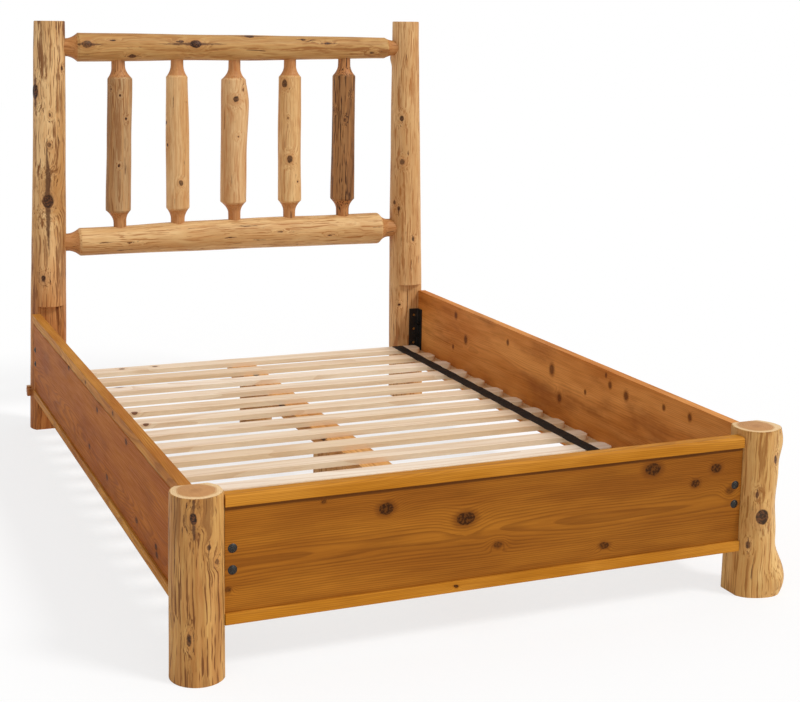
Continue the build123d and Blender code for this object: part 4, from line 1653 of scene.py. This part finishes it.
@dataclass
class FootPosts:
    """The two foot posts.

    Attributes:
        across: their axes from the middle of the bed.
        y: their axes along the bed.
        left_height, right_height: their heights.
        radii: their radii at the floor and at the top.
    """

    across: float = 0.707
    y: float = -0.999
    left_height: float = 0.409
    right_height: float = 0.417
    radii: tuple[float, float] = (0.062, 0.057)

    def build(self) -> None:
        """Builds both posts and puts them in their places."""
        for post in self.posts():
            settle(post.build(), post.node, "frame")

    def posts(self) -> list[Post]:
        """Lays out the two foot posts.

        Returns:
            The left post and the right post.
        """
        left_knots = (
            Knot((-0.7290, -1.0540, 0.3690), 0.010, 1.6, 0.11, 1.0, 0.9, 0.006),
            Knot((-0.6810, -1.0530, 0.2710), 0.008, 1.2, 0.0, 0.7, 0.9, 0.006),
            Knot((-0.6970, -1.0580, 0.3030), 0.006, 1.5, 0.03, 0.7),
            Knot((-0.7380, -1.0500, 0.1050), 0.006, 3.0, 0.05, 0.8),
        )
        right_knots = (
            Knot((0.6900, -1.0620, 0.2090), 0.018, 1.25, 0.0, 0.95, 0.6, 0.010),
            Knot((0.7290, -1.0540, 0.3450), 0.007, 1.8, 0.03, 0.8),
            Knot((0.6810, -1.0520, 0.2620), 0.005, 1.8, 0.03, 0.8),
            Knot((0.6690, -1.0440, 0.1340), 0.006, 1.8, 0.03, 0.7),
            Knot((0.7880, -1.0290, 0.0640), 0.019, 1.4, 0.0, 0.9, 0.3),
        )
        left = FootPost(
            "foot_post_left", (-self.across, self.y), (-self.across, self.y), self.left_height, self.radii,
            PeeledLog("peeled_foot_left", Grain.UP, shade(214, 168, 98), shade(172, 120, 60),
                      shade(112, 66, 26),
                      streaks=0.55, specks=1.0, hairs=0.95, seed=8.4, knots=left_knots, foot_shade=0.0),
            lumps=raised(left_knots, 0.030), seed=3.3)
        right = FootPost(
            "foot_post_right", (self.across, self.y), (self.across, self.y), self.right_height, self.radii,
            PeeledLog("peeled_foot_right", Grain.UP, shade(226, 186, 120), shade(198, 150, 84),
                      shade(148, 94, 36),
                      streaks=0.85, specks=0.8, hairs=0.8, seed=11.9, knots=right_knots, foot_shade=0.0),
            lumps=(
                Lump((0.690, -1.056, 0.209), 0.013, 0.058),
                Lump((0.690, -1.070, 0.209), -0.009, 0.022),
                Lump((0.766, -1.022, 0.042), 0.026, 0.090),
                Lump((0.740, -1.052, 0.030), 0.010, 0.060),
                Lump((0.765, -1.015, 0.385), 0.011, 0.060),
                Lump((0.765, -1.020, 0.230), -0.006, 0.080),
            ), seed=4.1)
        return [left, right]


@dataclass
class PlankRails:
    """The three plank rails: a board each, with a strip along its upper and its lower edge.

    Attributes:
        foot_face: the foot board's outer face, along the bed.
        left_face: the left board's outer face, across the bed.
        right_face: the right board's inner face, across the bed.
    """

    foot_face: float = -1.025
    left_face: float = -0.722
    right_face: float = 0.700

    def build(self) -> None:
        """Dresses the boards and their strips."""
        self.dress_foot()
        self.dress_left()
        self.dress_right()
        self.dress_strips()

    def dress_foot(self) -> None:
        """Dresses the foot board."""
        foot_knots = tuple(Knot((x, self.foot_face, z), size, stretch, 0.0, dark, halo) for x, z, size,
                           stretch, dark, halo in (
            (-0.284, 0.329, 0.015, 1.3, 1.0, 1.0), (-0.089, 0.284, 0.017, 1.5, 1.0, 1.0),
            (-0.006, 0.212, 0.008, 1.5, 0.6, 0.8),
            (0.274, 0.175, 0.009, 1.6, 0.85, 0.8), (0.400, 0.347, 0.017, 1.4, 0.95, 1.0),
            (0.521, 0.299, 0.011, 1.2, 0.9, 0.8),
            (0.579, 0.331, 0.012, 1.4, 0.95, 0.8), (0.622, 0.271, 0.009, 1.3, 0.5, 0.8),
            (-0.646, 0.193, 0.006, 1.3, 0.6, 0.8),
            (-0.431, 0.361, 0.005, 1.3, 0.7, 0.6)))
        # The edge band is a painted shadow: a dark strip along the board's top, under the top strip.
        dress(["foot_rail_board"], Plank(
            "foot_plank", Grain.ACROSS, (0.0, -0.965, 0.245), shade(178, 112, 33), shade(155, 92, 25),
            shade(104, 55, 14),
            0.0036, 0.42, 0.22, knots=foot_knots, wander=0.032, edge=(0.3675, shade(96, 54, 20))).material())

    def dress_left(self) -> None:
        """Dresses the left board."""
        left_knots = tuple(Knot((self.left_face, y, z), 0.008, 1.6, 0.0, 0.85, 0.8) for y, z in (
            (0.340, 0.361), (0.048, 0.205), (-0.411, 0.348), (-0.181, 0.186), (-0.064, 0.339),
            (-0.516, 0.181),
            (-0.716, 0.166), (-0.708, 0.182)))
        # The edge band is a painted highlight: a pale strip along the board's top edge, where the light
        # catches it.
        dress(["side_rail_left_board"], Plank(
            "side_plank_left", Grain.ALONG, (-0.650, 0.0, 0.20), shade(214, 128, 26), shade(188, 103, 14),
            shade(116, 54, 10),
            0.0040, 0.42, 0.0, 0.4, 0.9, left_knots, seed=3.0, blotches=0.6,
            edge=(0.3650, shade(204, 164, 104))).material())

    def dress_right(self) -> None:
        """Dresses the right board and its strips, which are cut from the same stock."""
        right_knots = tuple(Knot((self.right_face, y, z), size, 0.8, 0.0, 0.6, 1.0) for y, z, size in (
            (-0.031, 0.332, 0.017), (-0.081, 0.255, 0.014), (0.256, 0.355, 0.009), (0.657, 0.254, 0.008),
            (0.560, 0.300, 0.014), (0.640, 0.370, 0.012), (-0.742, 0.370, 0.010), (-0.625, 0.366, 0.008),
            (-0.336, 0.387, 0.007), (-0.359, 0.363, 0.010), (-0.443, 0.352, 0.013), (-0.227, 0.309, 0.007)))
        dress(["side_rail_right_board", "side_rail_right_top_strip", "side_rail_right_bottom_strip"], Plank(
            "side_plank_right", Grain.ALONG, (0.760, 0.0, 0.28), shade(242, 168, 90), shade(208, 129, 55),
            shade(140, 74, 26),
            0.0032, 0.20, 0.10, 0.0, 0.9, right_knots, seed=6.0, wander=0.04, blotches=0.6).material())

    def dress_strips(self) -> None:
        """Dresses the strips of the foot rail and of the left rail."""
        strip = dict(pale=shade(208, 142, 51), tan=shade(184, 117, 26), line=shade(140, 80, 18),
                     ring_gap=0.004, contrast=0.35)
        dress(["foot_rail_top_strip", "foot_rail_bottom_strip"], Plank(
            "foot_strip", Grain.ACROSS, (0.0, -0.99, 0.30), **strip,
            knots=(Knot((-0.112, -1.031, 0.130), 0.004, 1.8),)).material())
        side = dict(pale=shade(206, 145, 62), tan=shade(180, 112, 42), line=shade(126, 70, 28),
                    ring_gap=0.004, contrast=0.4)
        dress(["side_rail_left_top_strip", "side_rail_left_bottom_strip"], Plank(
            "side_strip", Grain.ALONG, (0.0, 0.0, 0.26), **side, knots=(
                Knot((-0.728, 0.059, 0.386), 0.006, 1.6, 0.0, 0.8),
                Knot((-0.728, -0.289, 0.389), 0.006, 1.6, 0.0, 0.8))).material())


@dataclass
class Fittings:
    """The angle brackets and all that is bolted, screwed or stapled; each field is a finish."""

    bracket: Metal = Metal("bracket_black", shade(24, 23, 22), shade(52, 50, 48), 0.42, 0.1, 90.0)
    wood_screw: Metal = Metal("screw_brass", shade(196, 160, 92), shade(150, 116, 64), 0.30, 0.9, 300.0)
    bolt: Metal = Metal("bolt_dark", shade(40, 38, 36), shade(128, 124, 118), 0.34, 0.75, 420.0, 0.0012)
    lag: Metal = Metal("screw_steel", shade(168, 168, 166), shade(120, 118, 114), 0.32, 0.9, 300.0)
    staple: Metal = Metal("staple_steel", shade(92, 88, 82), shade(54, 50, 46), 0.42, 0.8, 300.0)

    def build(self) -> None:
        """Dresses the brackets, bolts, nuts, screws and staples."""
        corners = ("foot_left", "foot_right", "head_left", "head_right", "foot_rail_left", "foot_rail_right")
        dress([f"bracket_{corner}" for corner in corners], self.bracket.material())
        dress(["bracket_screws", "cleat_screws"], self.wood_screw.material())
        dress(["carriage_bolts", "bolt_nuts"], self.bolt.material())
        dress(["leg_lag_screws"], self.lag.material())
        dress(["strap_staples"], self.staple.material())


@dataclass
class Undercarriage:
    """The cleats, the centre beam with its two log legs, and the dowels in the rails.

    Attributes:
        leg_height, leg_radius: the legs' size.
        leg_places: each leg's name, its place along the bed and its seed.
        beam_half: half the beam's width.
        beam_top: the beam's upper face above the floor.
    """

    leg_height: float = 0.144
    leg_radius: float = 0.055
    leg_places: tuple[tuple[str, float, float], ...] = (("middle", 0.029, 7.0), ("head", 0.759, 9.0))
    beam_half: float = 0.0445
    beam_top: float = 0.182

    def build(self) -> None:
        """Builds the legs, and dresses the cleats, the beam and the dowels."""
        for leg in self.legs():
            settle(leg.build(), leg.node, "frame")
        self.dress_timber()

    def legs(self) -> list[Post]:
        """Lays out the two short log legs under the beam.

        Returns:
            The middle leg and the head end's leg.
        """
        legs = []
        for name, y, seed in self.leg_places:
            legs.append(Post(
                f"centre_leg_{name}", (0.0, y), (0.0, y), self.leg_height, (self.leg_radius, self.leg_radius),
                PeeledLog(f"peeled_leg_{name}", Grain.UP, shade(220, 180, 126), shade(192, 146, 92),
                          shade(160, 102, 50),
                          seed=seed), seed=seed, uneven=0.003))
        return legs

    def dress_timber(self) -> None:
        """Dresses the cleats, the beam, which has dark patches along one upper edge, and the dowels."""
        beam = Plank("cleat_wood", Grain.ALONG, (0.0, 0.0, 0.10), shade(226, 196, 152), shade(206, 168, 120),
                     shade(166, 118, 74),
                     0.006, 0.4, seed=9.0)
        dress(["slat_cleat_left", "slat_cleat_right", "foot_beam_cleat"], beam.material())
        # Dark patches along the beam's upper edge, spaced along the bed.
        dark_marks = tuple(Knot((-self.beam_half, y, self.beam_top), size, 4.0, 0.0, 0.95, 0.3) for y, size in (
            (-0.83, 0.010), (-0.66, 0.014), (-0.52, 0.009), (-0.38, 0.013), (-0.21, 0.010), (0.02, 0.014),
            (0.17, 0.009),
            (0.36, 0.012), (0.58, 0.010)))
        dress(["centre_beam"], Plank("centre_beam", Grain.ALONG, (0.0, 0.0, 0.10), shade(226, 172, 106),
                                     shade(204, 144, 80),
                                     shade(156, 96, 46), 0.006, 0.4, knots=dark_marks, seed=9.5).material())
        dowel = Plank("dowel_beech", Grain.UP, (0.0, 0.0, 0.0), shade(220, 184, 140), shade(204, 164, 118),
                      shade(170, 126, 84),
                      0.004, 0.3)
        dress(["rail_dowels"], dowel.material())


@dataclass
class SlatRoll:
    """The slats and the two straps over them, which lift out together.

    Attributes:
        count: how many slats there are.
        top: their upper faces above the floor.
    """

    count: int = 15
    top: float = SLAT_TOP

    def build(self) -> None:
        """Dresses the slats and lays the two straps over them."""
        knots = tuple(Knot((x, y, self.top), size, 1.3, 0.0, 0.9, 0.9) for x, y, size in (
            (-0.430, 0.925, 0.009), (-0.314, 0.924, 0.008), (-0.493, 0.693, 0.016), (-0.517, 0.372, 0.009),
            (-0.514, 0.237, 0.008), (-0.513, 0.203, 0.008)))
        dress([f"slat_{number:02d}" for number in range(1, self.count + 1)], SlatPine(knots=knots).material())
        tape = WovenTape()
        for side, node in ((-1, "webbing_left"), (1, "webbing_right")):
            strap = Webbing(side, tape).build()
            settle(strap, node, "slat_roll")


def main() -> None:
    """Builds the bed assembly by assembly, then the studio."""
    logging.basicConfig(level=logging.INFO, format="%(message)s")
    for assembly in (Headboard(), FootPosts(), Undercarriage(), PlankRails(), Fittings(), SlatRoll(),
                     Studio()):
        assembly.build()
        log.info("%s done", type(assembly).__name__)


if __name__ == "__main__":
    main()
